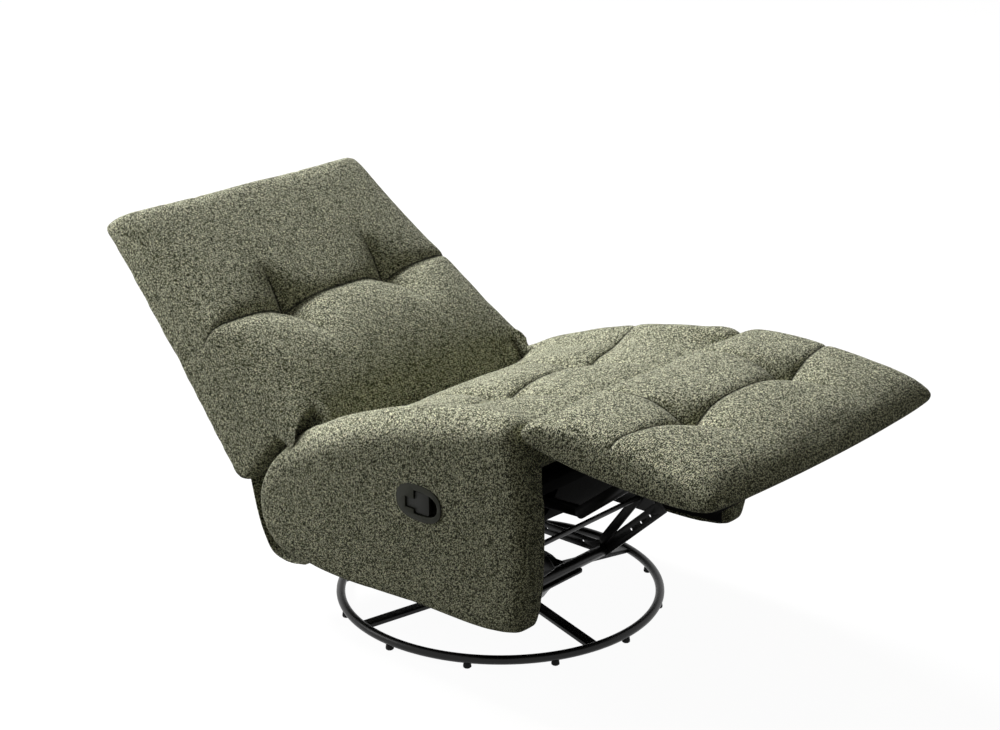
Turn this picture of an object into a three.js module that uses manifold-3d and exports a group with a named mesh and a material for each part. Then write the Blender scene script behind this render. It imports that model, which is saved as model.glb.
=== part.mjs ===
// Swivel recliner on a round ring base, shown fully reclined with its footrest out.
// Millimetres, +Z up. The origin is on the floor under the swivel axis, and the sitter faces -Y.
// Left and right are the sitter's: left is +X, right is -X.
import * as THREE from 'three';
import { mergeVertices } from 'three/addons/utils/BufferGeometryUtils.js';
import Module from 'manifold-3d';

const wasm = await Module();
wasm.setup();

// Clearances shared by all pieces
const gap = 0.3;
const overrun = 2;
const weldDistance = 0.0001;

// Ring base: a bent tube on glides, four spokes and a dished pan
const base = {
  turn: -15, ringRadius: 333, tubeRadius: 9.25, glideHeight: 10,
  glides: 12, glideRadius: 8.5, glideTopRadius: 6.5, glideSeat: 4,
  spokes: 4, spokeWidth: 25, spokeHeight: 10, spokeRise: 8, spokeEdge: 3,
  panFootRadius: 100, panRimRadius: 125, panWall: 4, panBottom: 15, panFootHeight: 22, panTop: 53,
};
base.ringHeight = base.glideHeight + base.tubeRadius;

// Swivel bearing: two races on the pan's rim, and the bolt on the axis
const bearing = { raceHeight: 4.2, raceWidth: 13, boltRadius: 6, headRadius: 11, headHeight: 6 };

// Mechanism frame that turns on the bearing
const frame = {
  plateHalfX: 100, plateHalfY: 146, plateThickness: 4.9, plateCorner: 14,
  tubeRadius: 12.5, tubeWall: 2, tubeY: 132,
  railX: 180, steel: 4, railHeight: 27, railHalfLength: 150, rivetRadius: 3,
  armReach: 152, armRise: 142, armWidth: 25, armHole: 3.4,
  braceWidth: 20, rodRadius: 5.5, rodY: -223, rodZ: 226, braceFootY: -136, braceFootZ: 106,
};
const armHoleShares = [0.48, 0.64, 0.79];

// Heights stack up from the pan
bearing.lowerZ = base.panTop + gap;
bearing.upperZ = bearing.lowerZ + bearing.raceHeight + gap;
frame.plateZ = bearing.upperZ + bearing.raceHeight + gap;
frame.tubeZ = frame.plateZ + frame.plateThickness + gap + frame.tubeRadius;

// Seat: deck, cushion and the upholstered side panels
const seat = {
  halfWidth: 370, panelThickness: 70, rearY: 186, frontY: -360, rearZ: 430, rise: 143, riseCurve: 1.85,
  deckRearZ: 300, deckRise: 125, deckRearY: 186, deckFrontY: -330, deckThickness: 12,
  railThickness: 18, railHeight: 22,
  tuckY: 214, crown: 6, tuftX: 150, tuftY: -74, tuftDepth: 50, tuftSpread: 52,
  seamDepth: 13, seamSpread: 20,
};
seat.innerX = seat.halfWidth - seat.panelThickness;

// Side panel outline: foot line, heel, rear edge and shoulder
const panel = {
  rearY: 333, frontY: -360, footFrontZ: 158, footMidZ: 140, footRearZ: 133, footRearY: 190,
  heelY: 290, heelZ: 149, rearZ: 258, toeRound: 19, noseRun: 40, noseDrop: 60, shoulderRound: 62,
  edgeRound: 18, innerRound: 7,
};
const footMiddleShare = 0.5;
const heelBulgeShares = [0.85, 0.4];
const rearEdgeShares = [[0.16, 0.32], [0.44, 0.66], [0.84, 0.95]];
const edgeInsetShare = 0.9;

// Back: a padded front whose round lower end turns about the hinge, on a wedge-shaped shell
const back = {
  inset: 10, shellInset: 10, lowY: 206, lowZ: 428, length: 651, tilt: 32.5,
  padLow: 100, padHigh: 76, topRound: 16, crown: 26, crownStart: 60, tuftX: 150, tuftAlong: 292,
  tuftDepth: 58, tuftSpread: 60, seamDepth: 13, seamSpread: 22, drawnIn: 6, topDrawnIn: 9,
  shellStart: 38, shellLow: 58, shellDeep: 259, shellHeel: 21, shellHollow: 5, shellEdge: 4,
  lugRadius: 12, pinRadius: 5, pinHead: 8, pinHeadThickness: 3, bracketWidth: 26, bracketLength: 210,
  upright: 38,
};
back.halfWidth = seat.halfWidth - back.inset;
back.shellHalfWidth = back.halfWidth - back.shellInset;
const rimShares = { low: 0.5, high: 0.85 };

// Footrest: board, cushion, brackets and the folding links on both sides
const foot = {
  inset: 10, rearY: -352, frontY: -796, frontBow: 16, rearZ: 558, frontZ: 534,
  crown: 46, belly: 46, pillow: 8, tuftX: 150, tuftY: -582, tuftDepth: 44, tuftSpread: 50,
  seamDepth: 11, seamSpread: 20, drawnIn: 6,
  boardInset: 70, boardRearY: -404, boardFrontY: -742, boardBottomZ: 491, boardThickness: 11,
  pivotY: -180, pivotZ: 345, toeY: -510, toeZ: 468, linkLength: 185, linkWidth: 24, linkPin: 4,
  bracketRearY: -497, bracketFrontY: -700, bracketHeight: 14,
};
foot.halfWidth = seat.halfWidth - foot.inset;
foot.boardHalfX = foot.halfWidth - foot.boardInset;

// Release handle in the right-hand panel
const handle = {
  y: -121.5, z: 361.6, halfLength: 57, halfHeight: 36, flange: 3, rim: 6, wall: 2.5, depth: 28,
  mouthFrontRim: 9, mouthSideRim: 12, groove: 1.2,
  paddleFront: 25, paddleRear: 11, paddleHeight: 43, paddleThickness: 6,
  tabLength: 22, tabHigh: 5, tabLow: 14, barrelRadius: 4, pinRadius: 2, corner: 6,
};
const ovalPower = 2.5;

// Rear skirt: loose cloth hung from the foot of the back round to the seat's underside
const skirt = {
  inset: 40, thickness: 8, lowY: 300, lowZ: 97, hemY: 228,
};
skirt.halfWidth = seat.halfWidth - skirt.inset;
const skirtDropShares = [[0.06, 0.15], [0.19, 0.42], [0.39, 0.72], [0.64, 0.94]];
const skirtHemShares = [[0.6, 0.16], [0.92, 0.45]];

// Steps across and along a cushion's form, and round the handle's oval
const formGrid = { acrossCount: 24, backCount: 22, alongCount: 20 };
const ovalCount = 44;

const finish = {
  blackMetal: { color: 0x141414, roughness: 0.42, metalness: 0.75 },
  steel: { color: 0x2a2a2b, roughness: 0.4, metalness: 0.8 },
  rubber: { color: 0x101010, roughness: 0.85, metalness: 0 },
  plastic: { color: 0x1b1c1b, roughness: 0.5, metalness: 0 },
  cloth: { color: 0x6b6d57, roughness: 0.95, metalness: 0 },
  wood: { color: 0xa98a5f, roughness: 0.7, metalness: 0 },
};

const chair = new THREE.Group();

function material(name) {
  return new THREE.MeshStandardMaterial(finish[name]);
}

function addPiece(parent, name, geometry, look) {
  const mesh = new THREE.Mesh(geometry, material(look));
  mesh.name = name;
  parent.add(mesh);
  return mesh;
}

// Turns a closed geometry into a solid that can be cut or joined
function solidOf(geometry) {
  const bare = geometry.clone();
  bare.deleteAttribute('normal');
  bare.deleteAttribute('uv');
  const merged = mergeVertices(bare, weldDistance);
  const vertProperties = new Float32Array(merged.attributes.position.array);
  const triVerts = new Uint32Array(merged.index.array);
  return new wasm.Manifold(new wasm.Mesh({ numProp: 3, vertProperties, triVerts }));
}

function geometryOf(solid) {
  const mesh = solid.getMesh();
  const positions = new Float32Array((mesh.vertProperties.length / mesh.numProp) * 3);
  for (let i = 0; i < positions.length / 3; i += 1) {
    for (let k = 0; k < 3; k += 1) positions[i * 3 + k] = mesh.vertProperties[i * mesh.numProp + k];
  }
  const geometry = new THREE.BufferGeometry();
  geometry.setAttribute('position', new THREE.BufferAttribute(positions, 3));
  geometry.setIndex(Array.from(mesh.triVerts));
  geometry.computeVertexNormals();
  return geometry;
}

// Revolves a closed profile of [radius, height] points about +Z
function revolve(profile, segments) {
  const points = profile.map(([r, z]) => new THREE.Vector2(r, z));
  const closed = profile[0][0] === 0 ? points : [...points, points[0].clone()];
  const geometry = new THREE.LatheGeometry(closed, segments);
  geometry.rotateX(Math.PI / 2);
  const solid = solidOf(geometry);
  if (solid.volume() > 0) return geometryOf(solid);
  geometry.setIndex(Array.from(geometry.index.array).reverse());
  return geometryOf(solidOf(geometry));
}

// The same shape with its rim counter-clockwise and its holes clockwise
function wound(shape, curveSegments) {
  const { shape: rim, holes } = shape.extractPoints(curveSegments);
  const ordered = new THREE.Shape(THREE.ShapeUtils.isClockWise(rim) ? rim.reverse() : rim);
  for (const hole of holes) {
    ordered.holes.push(new THREE.Path(THREE.ShapeUtils.isClockWise(hole) ? hole : hole.reverse()));
  }
  return ordered;
}

// Extrudes a shape drawn in (y, z) along +X, from x = 0
function standing(shape, thickness, curveSegments = 10) {
  const geometry = new THREE.ExtrudeGeometry(wound(shape, curveSegments),
    { depth: thickness, bevelEnabled: false });
  const turn = new THREE.Matrix4().makeBasis(
    new THREE.Vector3(0, 1, 0), new THREE.Vector3(0, 0, 1), new THREE.Vector3(1, 0, 0));
  geometry.applyMatrix4(turn);
  return geometry;
}

function roundHole(shape, y, z, radius, sides = 16) {
  const points = [];
  for (let i = 0; i < sides; i += 1) {
    const turn = (-Math.PI * 2 * i) / sides;
    points.push(new THREE.Vector2(y + radius * Math.cos(turn), z + radius * Math.sin(turn)));
  }
  shape.holes.push(new THREE.Path(points));
}

// A flat bar with round ends between two points, as a shape in (y, z)
function barShape(from, to, width, squareEnd = false) {
  const along = new THREE.Vector2(to[0] - from[0], to[1] - from[1]).normalize();
  const angle = Math.atan2(along.y, along.x);
  const side = new THREE.Vector2(-along.y, along.x).multiplyScalar(width / 2);
  const shape = new THREE.Shape();
  shape.absarc(from[0], from[1], width / 2, angle + Math.PI / 2, angle + Math.PI * 1.5, false);
  if (squareEnd) {
    shape.lineTo(to[0] - side.x, to[1] - side.y);
    shape.lineTo(to[0] + side.x, to[1] + side.y);
  } else {
    shape.absarc(to[0], to[1], width / 2, angle - Math.PI / 2, angle + Math.PI / 2, false);
  }
  shape.closePath();
  return shape;
}

function roundedRectangle(halfX, halfY, corner) {
  const shape = new THREE.Shape();
  shape.absarc(halfX - corner, halfY - corner, corner, 0, Math.PI / 2, false);
  shape.absarc(corner - halfX, halfY - corner, corner, Math.PI / 2, Math.PI, false);
  shape.absarc(corner - halfX, corner - halfY, corner, Math.PI, Math.PI * 1.5, false);
  shape.absarc(halfX - corner, corner - halfY, corner, Math.PI * 1.5, Math.PI * 2, false);
  shape.closePath();
  return shape;
}

// A cylinder along +X, from x = 0
function rod(radius, length, sides = 16) {
  const geometry = new THREE.CylinderGeometry(radius, radius, length, sides);
  geometry.rotateZ(-Math.PI / 2);
  geometry.translate(length / 2, 0, 0);
  return geometry;
}

function mix(a, b, t) {
  return a + (b - a) * t;
}

// A soft dip with a given spread, one at its middle
function dip(distance, spread) {
  return Math.exp(-((distance / spread) ** 2));
}

// A closed padded form: across runs from -1 to 1 over the width, along from -1 to 1 over the length.
// Each surface function returns [x, y, z], and the two surfaces share their rim.
function paddedForm(across, along, topAt, bottomAt) {
  const positions = [];
  const index = [];
  const topIds = [];
  const lowIds = [];
  const spread = (i, n) => Math.sin((Math.PI / 2) * ((2 * i) / n - 1));
  for (let j = 0; j <= along; j += 1) {
    for (let i = 0; i <= across; i += 1) {
      const a = spread(i, across);
      const b = spread(j, along);
      const rim = i === 0 || j === 0 || i === across || j === along;
      topIds.push(positions.length / 3);
      positions.push(...topAt(a, b));
      if (rim) {
        lowIds.push(topIds[topIds.length - 1]);
      } else {
        lowIds.push(positions.length / 3);
        positions.push(...bottomAt(a, b));
      }
    }
  }
  const row = across + 1;
  for (let j = 0; j < along; j += 1) {
    for (let i = 0; i < across; i += 1) {
      const p = j * row + i;
      const corners = [p, p + 1, p + row + 1, p + row];
      const [a, b, c, d] = corners.map((k) => topIds[k]);
      const [e, f, g, h] = corners.map((k) => lowIds[k]);
      index.push(a, b, c, a, c, d);
      index.push(e, g, f, e, h, g);
    }
  }
  const geometry = new THREE.BufferGeometry();
  geometry.setAttribute('position', new THREE.Float32BufferAttribute(positions, 3));
  geometry.setIndex(index);
  const solid = solidOf(geometry);
  if (solid.volume() > 0) return geometryOf(solid);
  geometry.setIndex(index.slice().reverse());
  return geometryOf(solidOf(geometry));
}

// Blunt rounding towards a rim, one in the middle and zero at the rim
function blunt(t, power) {
  return (1 - Math.abs(t) ** power) ** (1 / power);
}

// Ring, glides, spokes and pan, which stand still
function buildBase() {
  const group = new THREE.Group();
  group.rotation.z = THREE.MathUtils.degToRad(base.turn);
  chair.add(group);

  const ring = new THREE.TorusGeometry(base.ringRadius, base.tubeRadius, 10, 60);
  addPiece(group, 'base_ring', ring, 'blackMetal').position.z = base.ringHeight;

  const ringCut = solidOf(new THREE.TorusGeometry(base.ringRadius, base.tubeRadius + gap, 10, 60))
    .translate([0, 0, base.ringHeight]);
  const glideTop = base.ringHeight - base.glideSeat / 2;
  const glide = solidOf(revolve([
    [0, 0], [base.glideRadius - base.glideSeat / 2, 0], [base.glideRadius, base.glideSeat / 2],
    [base.glideRadius, base.glideSeat], [base.glideTopRadius, glideTop], [0, glideTop],
  ], 10)).translate([base.ringRadius, 0, 0]).subtract(ringCut);
  const glideGeometry = geometryOf(glide);
  for (let i = 0; i < base.glides; i += 1) {
    const name = `glide_${String(i + 1).padStart(2, '0')}`;
    const piece = addPiece(group, name, glideGeometry, 'rubber');
    piece.rotation.z = (Math.PI * 2 * (i + 0.5)) / base.glides;
  }

  const foot = base.panFootRadius;
  const pan = revolve([
    [bearing.boltRadius + gap, base.panBottom],
    [foot, base.panBottom],
    [foot + base.panWall, base.panFootHeight],
    [base.panRimRadius, base.panTop - base.panWall],
    [base.panRimRadius, base.panTop],
    [base.panRimRadius - bearing.raceWidth, base.panTop],
    [base.panRimRadius - bearing.raceWidth, base.panTop - base.panWall],
    [foot, base.panFootHeight + base.panWall],
    [foot - base.panWall, base.panBottom + base.panWall],
    [bearing.boltRadius + gap, base.panBottom + base.panWall],
  ], 36);
  addPiece(group, 'hub_pan', pan, 'blackMetal');

  const panCut = solidOf(revolve([
    [0, base.panBottom - overrun],
    [foot + gap, base.panBottom - overrun],
    [foot + gap, base.panBottom],
    [foot + base.panWall + gap, base.panFootHeight],
    [base.panRimRadius + gap, base.panTop - base.panWall],
    [0, base.panTop - base.panWall],
  ], 96));
  const section = roundedRectangle(base.spokeWidth / 2, base.spokeHeight / 2, base.spokeEdge);
  const reach = base.ringRadius - foot;
  const slope = Math.atan2(base.spokeRise, reach);
  const bar = new THREE.ExtrudeGeometry(section,
    { depth: reach / Math.cos(slope), bevelEnabled: false, curveSegments: 3 });
  bar.applyMatrix4(new THREE.Matrix4().makeBasis(
    new THREE.Vector3(0, 1, 0), new THREE.Vector3(0, 0, 1), new THREE.Vector3(1, 0, 0)));
  bar.rotateY(slope);
  bar.translate(foot, 0, base.ringHeight + base.spokeRise);
  const spoke = geometryOf(solidOf(bar).subtract(ringCut).subtract(panCut));
  for (let i = 0; i < base.spokes; i += 1) {
    addPiece(group, `spoke_${i + 1}`, spoke, 'blackMetal').rotation.z = (Math.PI * 2 * i) / base.spokes;
  }

  const race = (low) => revolve([
    [base.panRimRadius - bearing.raceWidth, low], [base.panRimRadius, low],
    [base.panRimRadius, low + bearing.raceHeight],
    [base.panRimRadius - bearing.raceWidth, low + bearing.raceHeight],
  ], 36);
  addPiece(group, 'bearing_race_lower', race(bearing.lowerZ), 'steel');
  addPiece(chair, 'bearing_race_upper', race(bearing.upperZ), 'steel');

  const nutZ = frame.plateZ + frame.plateThickness + gap;
  const boltLow = base.panBottom - gap - bearing.headHeight / 2;
  const bolt = revolve([
    [0, boltLow], [bearing.headRadius, boltLow], [bearing.headRadius, base.panBottom - gap],
    [bearing.boltRadius, base.panBottom - gap], [bearing.boltRadius, nutZ], [bearing.headRadius, nutZ],
    [bearing.headRadius, nutZ + bearing.headHeight], [0, nutZ + bearing.headHeight],
  ], 20);
  addPiece(group, 'king_bolt', bolt, 'steel');
}

// Plate, tubes, rails, arms and braces, which turn on the bearing
function buildFrame() {
  const plateShape = roundedRectangle(frame.plateHalfX, frame.plateHalfY, frame.plateCorner);
  roundHole(plateShape, 0, 0, bearing.boltRadius + gap);
  const plate = new THREE.ExtrudeGeometry(plateShape,
    { depth: frame.plateThickness, bevelEnabled: false, curveSegments: 8 });
  addPiece(chair, 'swivel_plate', plate, 'blackMetal').position.z = frame.plateZ;

  const tubeLength = 2 * (frame.railX - gap);
  const tube = revolve([
    [frame.tubeRadius - frame.tubeWall, 0], [frame.tubeRadius, 0],
    [frame.tubeRadius, tubeLength], [frame.tubeRadius - frame.tubeWall, tubeLength],
  ], 24);
  tube.rotateY(Math.PI / 2);
  tube.translate(-tubeLength / 2, 0, 0);
  for (const [name, y] of [['cross_tube_front', -frame.tubeY], ['cross_tube_rear', frame.tubeY]]) {
    addPiece(chair, name, tube, 'blackMetal').position.set(0, y, frame.tubeZ);
  }

  const railShape = new THREE.Shape();
  railShape.moveTo(-frame.railHalfLength, frame.tubeZ - frame.tubeRadius);
  railShape.lineTo(frame.railHalfLength, frame.tubeZ - frame.tubeRadius);
  railShape.lineTo(frame.railHalfLength, frame.tubeZ - frame.tubeRadius + frame.railHeight);
  railShape.lineTo(-frame.railHalfLength, frame.tubeZ - frame.tubeRadius + frame.railHeight);
  railShape.closePath();
  for (let i = 0; i < 4; i += 1) {
    const y = frame.railHalfLength * (0.5 - i / 3);
    roundHole(railShape, y, frame.tubeZ + frame.tubeWall, frame.rivetRadius);
  }
  const rail = standing(railShape, frame.steel, 6);

  const armPlane = frame.railX - gap - frame.steel;
  const bracePlane = armPlane - gap - frame.steel;
  const arms = {};
  for (const [name, facing] of [['front', -1], ['rear', 1]]) {
    const foot = [facing * frame.tubeY, frame.tubeZ];
    const end = [foot[0] + facing * frame.armReach, foot[1] + frame.armRise];
    const shape = barShape(foot, end, frame.armWidth + 2 * frame.tubeWall, true);
    roundHole(shape, foot[0], foot[1], frame.tubeRadius + gap);
    for (const share of armHoleShares) {
      roundHole(shape, mix(foot[0], end[0], share), mix(foot[1], end[1], share), frame.armHole);
    }
    arms[name] = standing(shape, frame.steel, 10);
  }
  const braceFoot = [frame.braceFootY, frame.braceFootZ];
  const braceShape = barShape(braceFoot, [frame.rodY, frame.rodZ], frame.braceWidth);
  roundHole(braceShape, frame.rodY, frame.rodZ, frame.rodRadius + gap);
  const brace = standing(braceShape, frame.steel, 8);

  for (const [side, sign] of [['left', 1], ['right', -1]]) {
    const place = (mesh, near) => {
      mesh.position.x = sign > 0 ? near : -near - frame.steel;
    };
    place(addPiece(chair, `base_rail_${side}`, rail, 'blackMetal'), frame.railX);
    place(addPiece(chair, `front_arm_${side}`, arms.front, 'blackMetal'), armPlane);
    place(addPiece(chair, `rear_arm_${side}`, arms.rear, 'blackMetal'), armPlane);
    place(addPiece(chair, `brace_${side}`, brace, 'blackMetal'), bracePlane);
  }
  const rodLength = 2 * (frame.railX - gap);
  const crossRod = addPiece(chair, 'cross_rod', rod(frame.rodRadius, rodLength), 'steel');
  crossRod.position.set(-rodLength / 2, frame.rodY, frame.rodZ);
}

// The seat deck's underside at a given y
function deckUnderside(y) {
  const share = (seat.deckRearY - y) / (seat.deckRearY - seat.deckFrontY);
  return seat.deckRearZ + seat.deckRise * share;
}

const deckSlope = Math.atan2(seat.deckRise, seat.deckRearY - seat.deckFrontY);
const deckTopRise = seat.deckThickness / Math.cos(deckSlope);

// The seat's top line: steep at the rear and level at the front
function seatTop(y) {
  const share = Math.min(1, Math.max(0, (seat.rearY - y) / (seat.rearY - seat.frontY)));
  return seat.rearZ + seat.rise * (1 - (1 - share) ** seat.riseCurve);
}

// Local frame along the back's front face: distance from its foot and height off the face
const backAngle = THREE.MathUtils.degToRad(back.tilt);

function onBack(along, out) {
  return [
    back.lowY + along * Math.cos(backAngle) - out * Math.sin(backAngle),
    back.lowZ + along * Math.sin(backAngle) + out * Math.cos(backAngle),
  ];
}

function padThickness(along) {
  return mix(back.padLow, back.padHigh, along / back.length);
}

// The hinge lies in the middle of the pad, level with the seat's end
back.round = back.padLow / 2;
[back.hingeY, back.hingeZ] = onBack(0, -back.round);

// Side plates of the recliner mechanism, with the pivots of the back and the footrest
function buildSidePlates() {
  const low = frame.tubeZ + frame.armRise - frame.armWidth;
  const frontY = -frame.tubeY - frame.armReach + frame.armWidth;
  const rearY = frame.tubeY + frame.armReach - frame.armWidth;
  const lugLow = deckUnderside(seat.deckRearY) - gap;
  const lugFront = seat.deckRearY + seat.deckThickness * Math.sin(deckSlope) + gap;
  const shape = new THREE.Shape();
  shape.moveTo(frontY, low);
  shape.lineTo(frontY, low + frame.armWidth * 2);
  shape.lineTo(foot.pivotY - foot.linkWidth, foot.pivotZ - foot.linkWidth / 2);
  shape.lineTo(foot.pivotY - foot.linkWidth, deckUnderside(foot.pivotY - foot.linkWidth) - gap);
  shape.lineTo(lugFront, deckUnderside(lugFront) - gap);
  shape.lineTo(lugFront, back.hingeZ - back.lugRadius);
  shape.absarc(back.hingeY, back.hingeZ, back.lugRadius, Math.PI, 0, true);
  shape.lineTo(back.hingeY + back.lugRadius, lugLow);
  shape.lineTo(rearY, low + frame.armWidth * 2);
  shape.lineTo(rearY, low);
  shape.closePath();
  roundHole(shape, back.hingeY, back.hingeZ, back.pinRadius + gap);
  roundHole(shape, foot.pivotY, foot.pivotZ, foot.linkPin + gap);
  const plate = standing(shape, frame.steel, 10);
  addPiece(chair, 'side_plate_left', plate, 'blackMetal').position.x = frame.railX;
  addPiece(chair, 'side_plate_right', plate, 'blackMetal').position.x = -frame.railX - frame.steel;
}

function buildSeat() {
  const deckLength = Math.hypot(seat.deckRearY - seat.deckFrontY, seat.deckRise);
  const deckGroup = new THREE.Group();
  deckGroup.position.set(0, seat.deckRearY, seat.deckRearZ);
  deckGroup.rotation.x = -deckSlope;
  chair.add(deckGroup);
  const deck = new THREE.BoxGeometry(2 * (seat.innerX - gap), deckLength, seat.deckThickness);
  addPiece(deckGroup, 'seat_deck', deck, 'wood').position.set(0, -deckLength / 2, seat.deckThickness / 2);

  const railTop = deckUnderside(seat.deckFrontY) + seat.deckThickness;
  const rail = new THREE.BoxGeometry(2 * (seat.innerX - gap), seat.railThickness, seat.railHeight);
  const railY = seat.deckFrontY - seat.deckThickness / 2 - seat.railThickness / 2;
  addPiece(chair, 'seat_front_rail', rail, 'wood').position.set(0, railY, railTop - seat.railHeight / 2);

  const halfX = seat.innerX - gap;
  const yAt = (b) => mix(seat.tuckY, seat.frontY, (b + 1) / 2);
  const low = (y) => deckUnderside(y) + deckTopRise + gap;
  const edge = (a, b) => blunt(a, 7) * blunt(b, 3.5);
  const rimZ = (b) => mix(low(yAt(b)), seatTop(yAt(b)), 0.5);
  const topAt = (a, b) => {
    const x = a * halfX;
    const y = yAt(b);
    const open = edge(a, b);
    const seams = seat.seamDepth * Math.max(
      dip(Math.abs(x) - seat.tuftX, seat.seamSpread), dip(y - seat.tuftY, seat.seamSpread));
    const tufts = seat.tuftDepth * dip(Math.hypot(Math.abs(x) - seat.tuftX, y - seat.tuftY), seat.tuftSpread);
    const full = seatTop(y) + seat.crown * (1 - a * a) - rimZ(b);
    return [x, y, rimZ(b) + full * open - Math.max(seams, tufts) * open * open];
  };
  const bottomAt = (a, b) => {
    const y = yAt(b);
    return [a * halfX, y, rimZ(b) - (rimZ(b) - low(y)) * edge(a, b)];
  };
  let cushion = solidOf(paddedForm(formGrid.acrossCount, formGrid.alongCount, topAt, bottomAt));
  const room = back.round + 2 * gap;
  const reach = 2 * back.padLow;
  const raised = backAngle + THREE.MathUtils.degToRad(back.upright);
  const swept = new THREE.Shape();
  swept.absarc(back.hingeY, back.hingeZ, room, raised + Math.PI / 2, backAngle + Math.PI * 1.5, false);
  const lowest = swept.currentPoint.clone();
  swept.lineTo(lowest.x + reach * Math.cos(backAngle), lowest.y + reach * Math.sin(backAngle));
  swept.lineTo(
    back.hingeY - room * Math.sin(raised) + reach * Math.cos(raised),
    back.hingeZ + room * Math.cos(raised) + reach * Math.sin(raised));
  swept.closePath();
  const sweptRoom = solidOf(standing(swept, 2 * seat.halfWidth, 28)).translate([-seat.halfWidth, 0, 0]);
  cushion = cushion.subtract(sweptRoom);
  const endRoom = new THREE.BoxGeometry(2 * seat.halfWidth, 2 * back.padLow, 2 * back.padLow);
  endRoom.translate(0, seat.rearY + back.padLow, back.hingeZ - back.padLow);
  cushion = cushion.subtract(solidOf(endRoom));
  addPiece(chair, 'seat_cushion', geometryOf(cushion), 'cloth');
}

// The side panel's outline in (y, z), counter-clockwise seen from +X, from the toe
function panelOutline() {
  const points = [];
  const push = (y, z) => points.push(new THREE.Vector2(y, z));
  const toe = panel.toeRound;
  const toeSteps = 4;
  for (let i = 0; i <= toeSteps; i += 1) {
    const t = Math.PI + (Math.PI / 2) * (i / toeSteps);
    push(panel.frontY + toe + toe * Math.cos(t), panel.footFrontZ + toe + toe * Math.sin(t));
  }
  push(mix(panel.frontY, panel.footRearY, footMiddleShare), panel.footMidZ);
  push(panel.footRearY, panel.footRearZ);
  push(panel.heelY, panel.heelZ);
  push(mix(panel.heelY, panel.rearY, heelBulgeShares[0]), mix(panel.heelZ, panel.rearZ, heelBulgeShares[1]));
  push(panel.rearY, panel.rearZ);
  for (const [yShare, zShare] of rearEdgeShares) {
    push(mix(panel.rearY, seat.rearY, yShare), mix(panel.rearZ, seat.rearZ, zShare));
  }
  const steps = 12;
  for (let i = 1; i <= steps; i += 1) {
    const y = mix(seat.rearY, panel.frontY + panel.noseRun, i / steps);
    push(y, seatTop(y));
  }
  const noseY = panel.frontY + panel.noseRun;
  const noseSteps = 4;
  for (let i = 1; i <= noseSteps; i += 1) {
    const turn = (Math.PI / 2) * (i / noseSteps);
    push(noseY - panel.noseRun * Math.sin(turn), seatTop(noseY) - panel.noseDrop * (1 - Math.cos(turn)));
  }
  return points;
}

// Height of the panels' foot line at a given y
function panelFootZ(y) {
  const middle = mix(panel.frontY, panel.footRearY, footMiddleShare);
  if (y < middle) return mix(panel.footMidZ, panel.footFrontZ, (middle - y) / (middle - panel.frontY));
  if (y < panel.footRearY) {
    return mix(panel.footMidZ, panel.footRearZ, (y - middle) / (panel.footRearY - middle));
  }
  return mix(panel.footRearZ, panel.heelZ, (y - panel.footRearY) / (panel.heelY - panel.footRearY));
}

// A panel with rounded outer edges, lofted from its inner face (x = 0) to its outer face (+X)
function panelGeometry() {
  const outline = panelOutline();
  const count = outline.length;
  const inward = outline.map((point, i) => {
    const before = outline[(i + count - 1) % count];
    const after = outline[(i + 1) % count];
    const run = after.clone().sub(before).normalize();
    return new THREE.Vector2(-run.y, run.x);
  });
  const midZ = (panel.footRearZ + seat.rearZ + seat.rise) / 2;
  const steps = 4;
  const rounding = outline.map((point) => {
    const behindFront = Math.min(1, (point.x - panel.frontY) / (2 * panel.shoulderRound));
    const shoulder = mix(panel.edgeRound, panel.shoulderRound, behindFront);
    return point.y > midZ ? shoulder : panel.edgeRound;
  });
  const positions = [];
  const ring = (place) => outline.forEach((point, i) => {
    const [x, inset] = place(i);
    const at = point.clone().addScaledVector(inward[i], inset);
    positions.push(x, at.x, at.y);
  });
  const thickness = seat.panelThickness;
  const bare = outline.map((point) => point.y < midZ || point.x < panel.frontY + panel.noseRun / 2);
  ring((i) => [0, bare[i] ? panel.innerRound : 0]);
  ring((i) => [panel.innerRound / 3, bare[i] ? panel.innerRound / 3 : 0]);
  ring((i) => [panel.innerRound, 0]);
  for (let s = 0; s <= steps; s += 1) {
    const turn = (Math.PI / 2) * (s / steps);
    ring((i) => {
      const r = rounding[i];
      return [thickness - r + r * Math.sin(turn), r * (1 - Math.cos(turn)) * edgeInsetShare];
    });
  }
  const rings = steps + 4;
  const index = [];
  for (let s = 0; s < rings - 1; s += 1) {
    for (let i = 0; i < count; i += 1) {
      const next = (i + 1) % count;
      const a = s * count + i;
      const b = s * count + next;
      index.push(a, b, b + count, a, b + count, a + count);
    }
  }
  const cap = (first, flip) => {
    const loop = [];
    for (let i = 0; i < count; i += 1) {
      loop.push(new THREE.Vector2(positions[(first + i) * 3 + 1], positions[(first + i) * 3 + 2]));
    }
    for (const [a, b, c] of THREE.ShapeUtils.triangulateShape(loop, [])) {
      if (flip) index.push(first + a, first + c, first + b);
      else index.push(first + a, first + b, first + c);
    }
  };
  cap(0, true);
  cap((rings - 1) * count, false);
  const geometry = new THREE.BufferGeometry();
  geometry.setAttribute('position', new THREE.Float32BufferAttribute(positions, 3));
  geometry.setIndex(index);
  return geometry;
}

// A full-cornered oval prism for the handle's moulding, along X from x = 0 inwards
function oval(halfLength, halfHeight, depth) {
  const full = (value) => Math.sign(value) * Math.abs(value) ** (2 / ovalPower);
  const points = [];
  for (let i = 0; i < ovalCount; i += 1) {
    const turn = (Math.PI * 2 * i) / ovalCount;
    points.push(new THREE.Vector2(halfLength * full(Math.cos(turn)), halfHeight * full(Math.sin(turn))));
  }
  return solidOf(standing(new THREE.Shape(points), depth));
}

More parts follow.
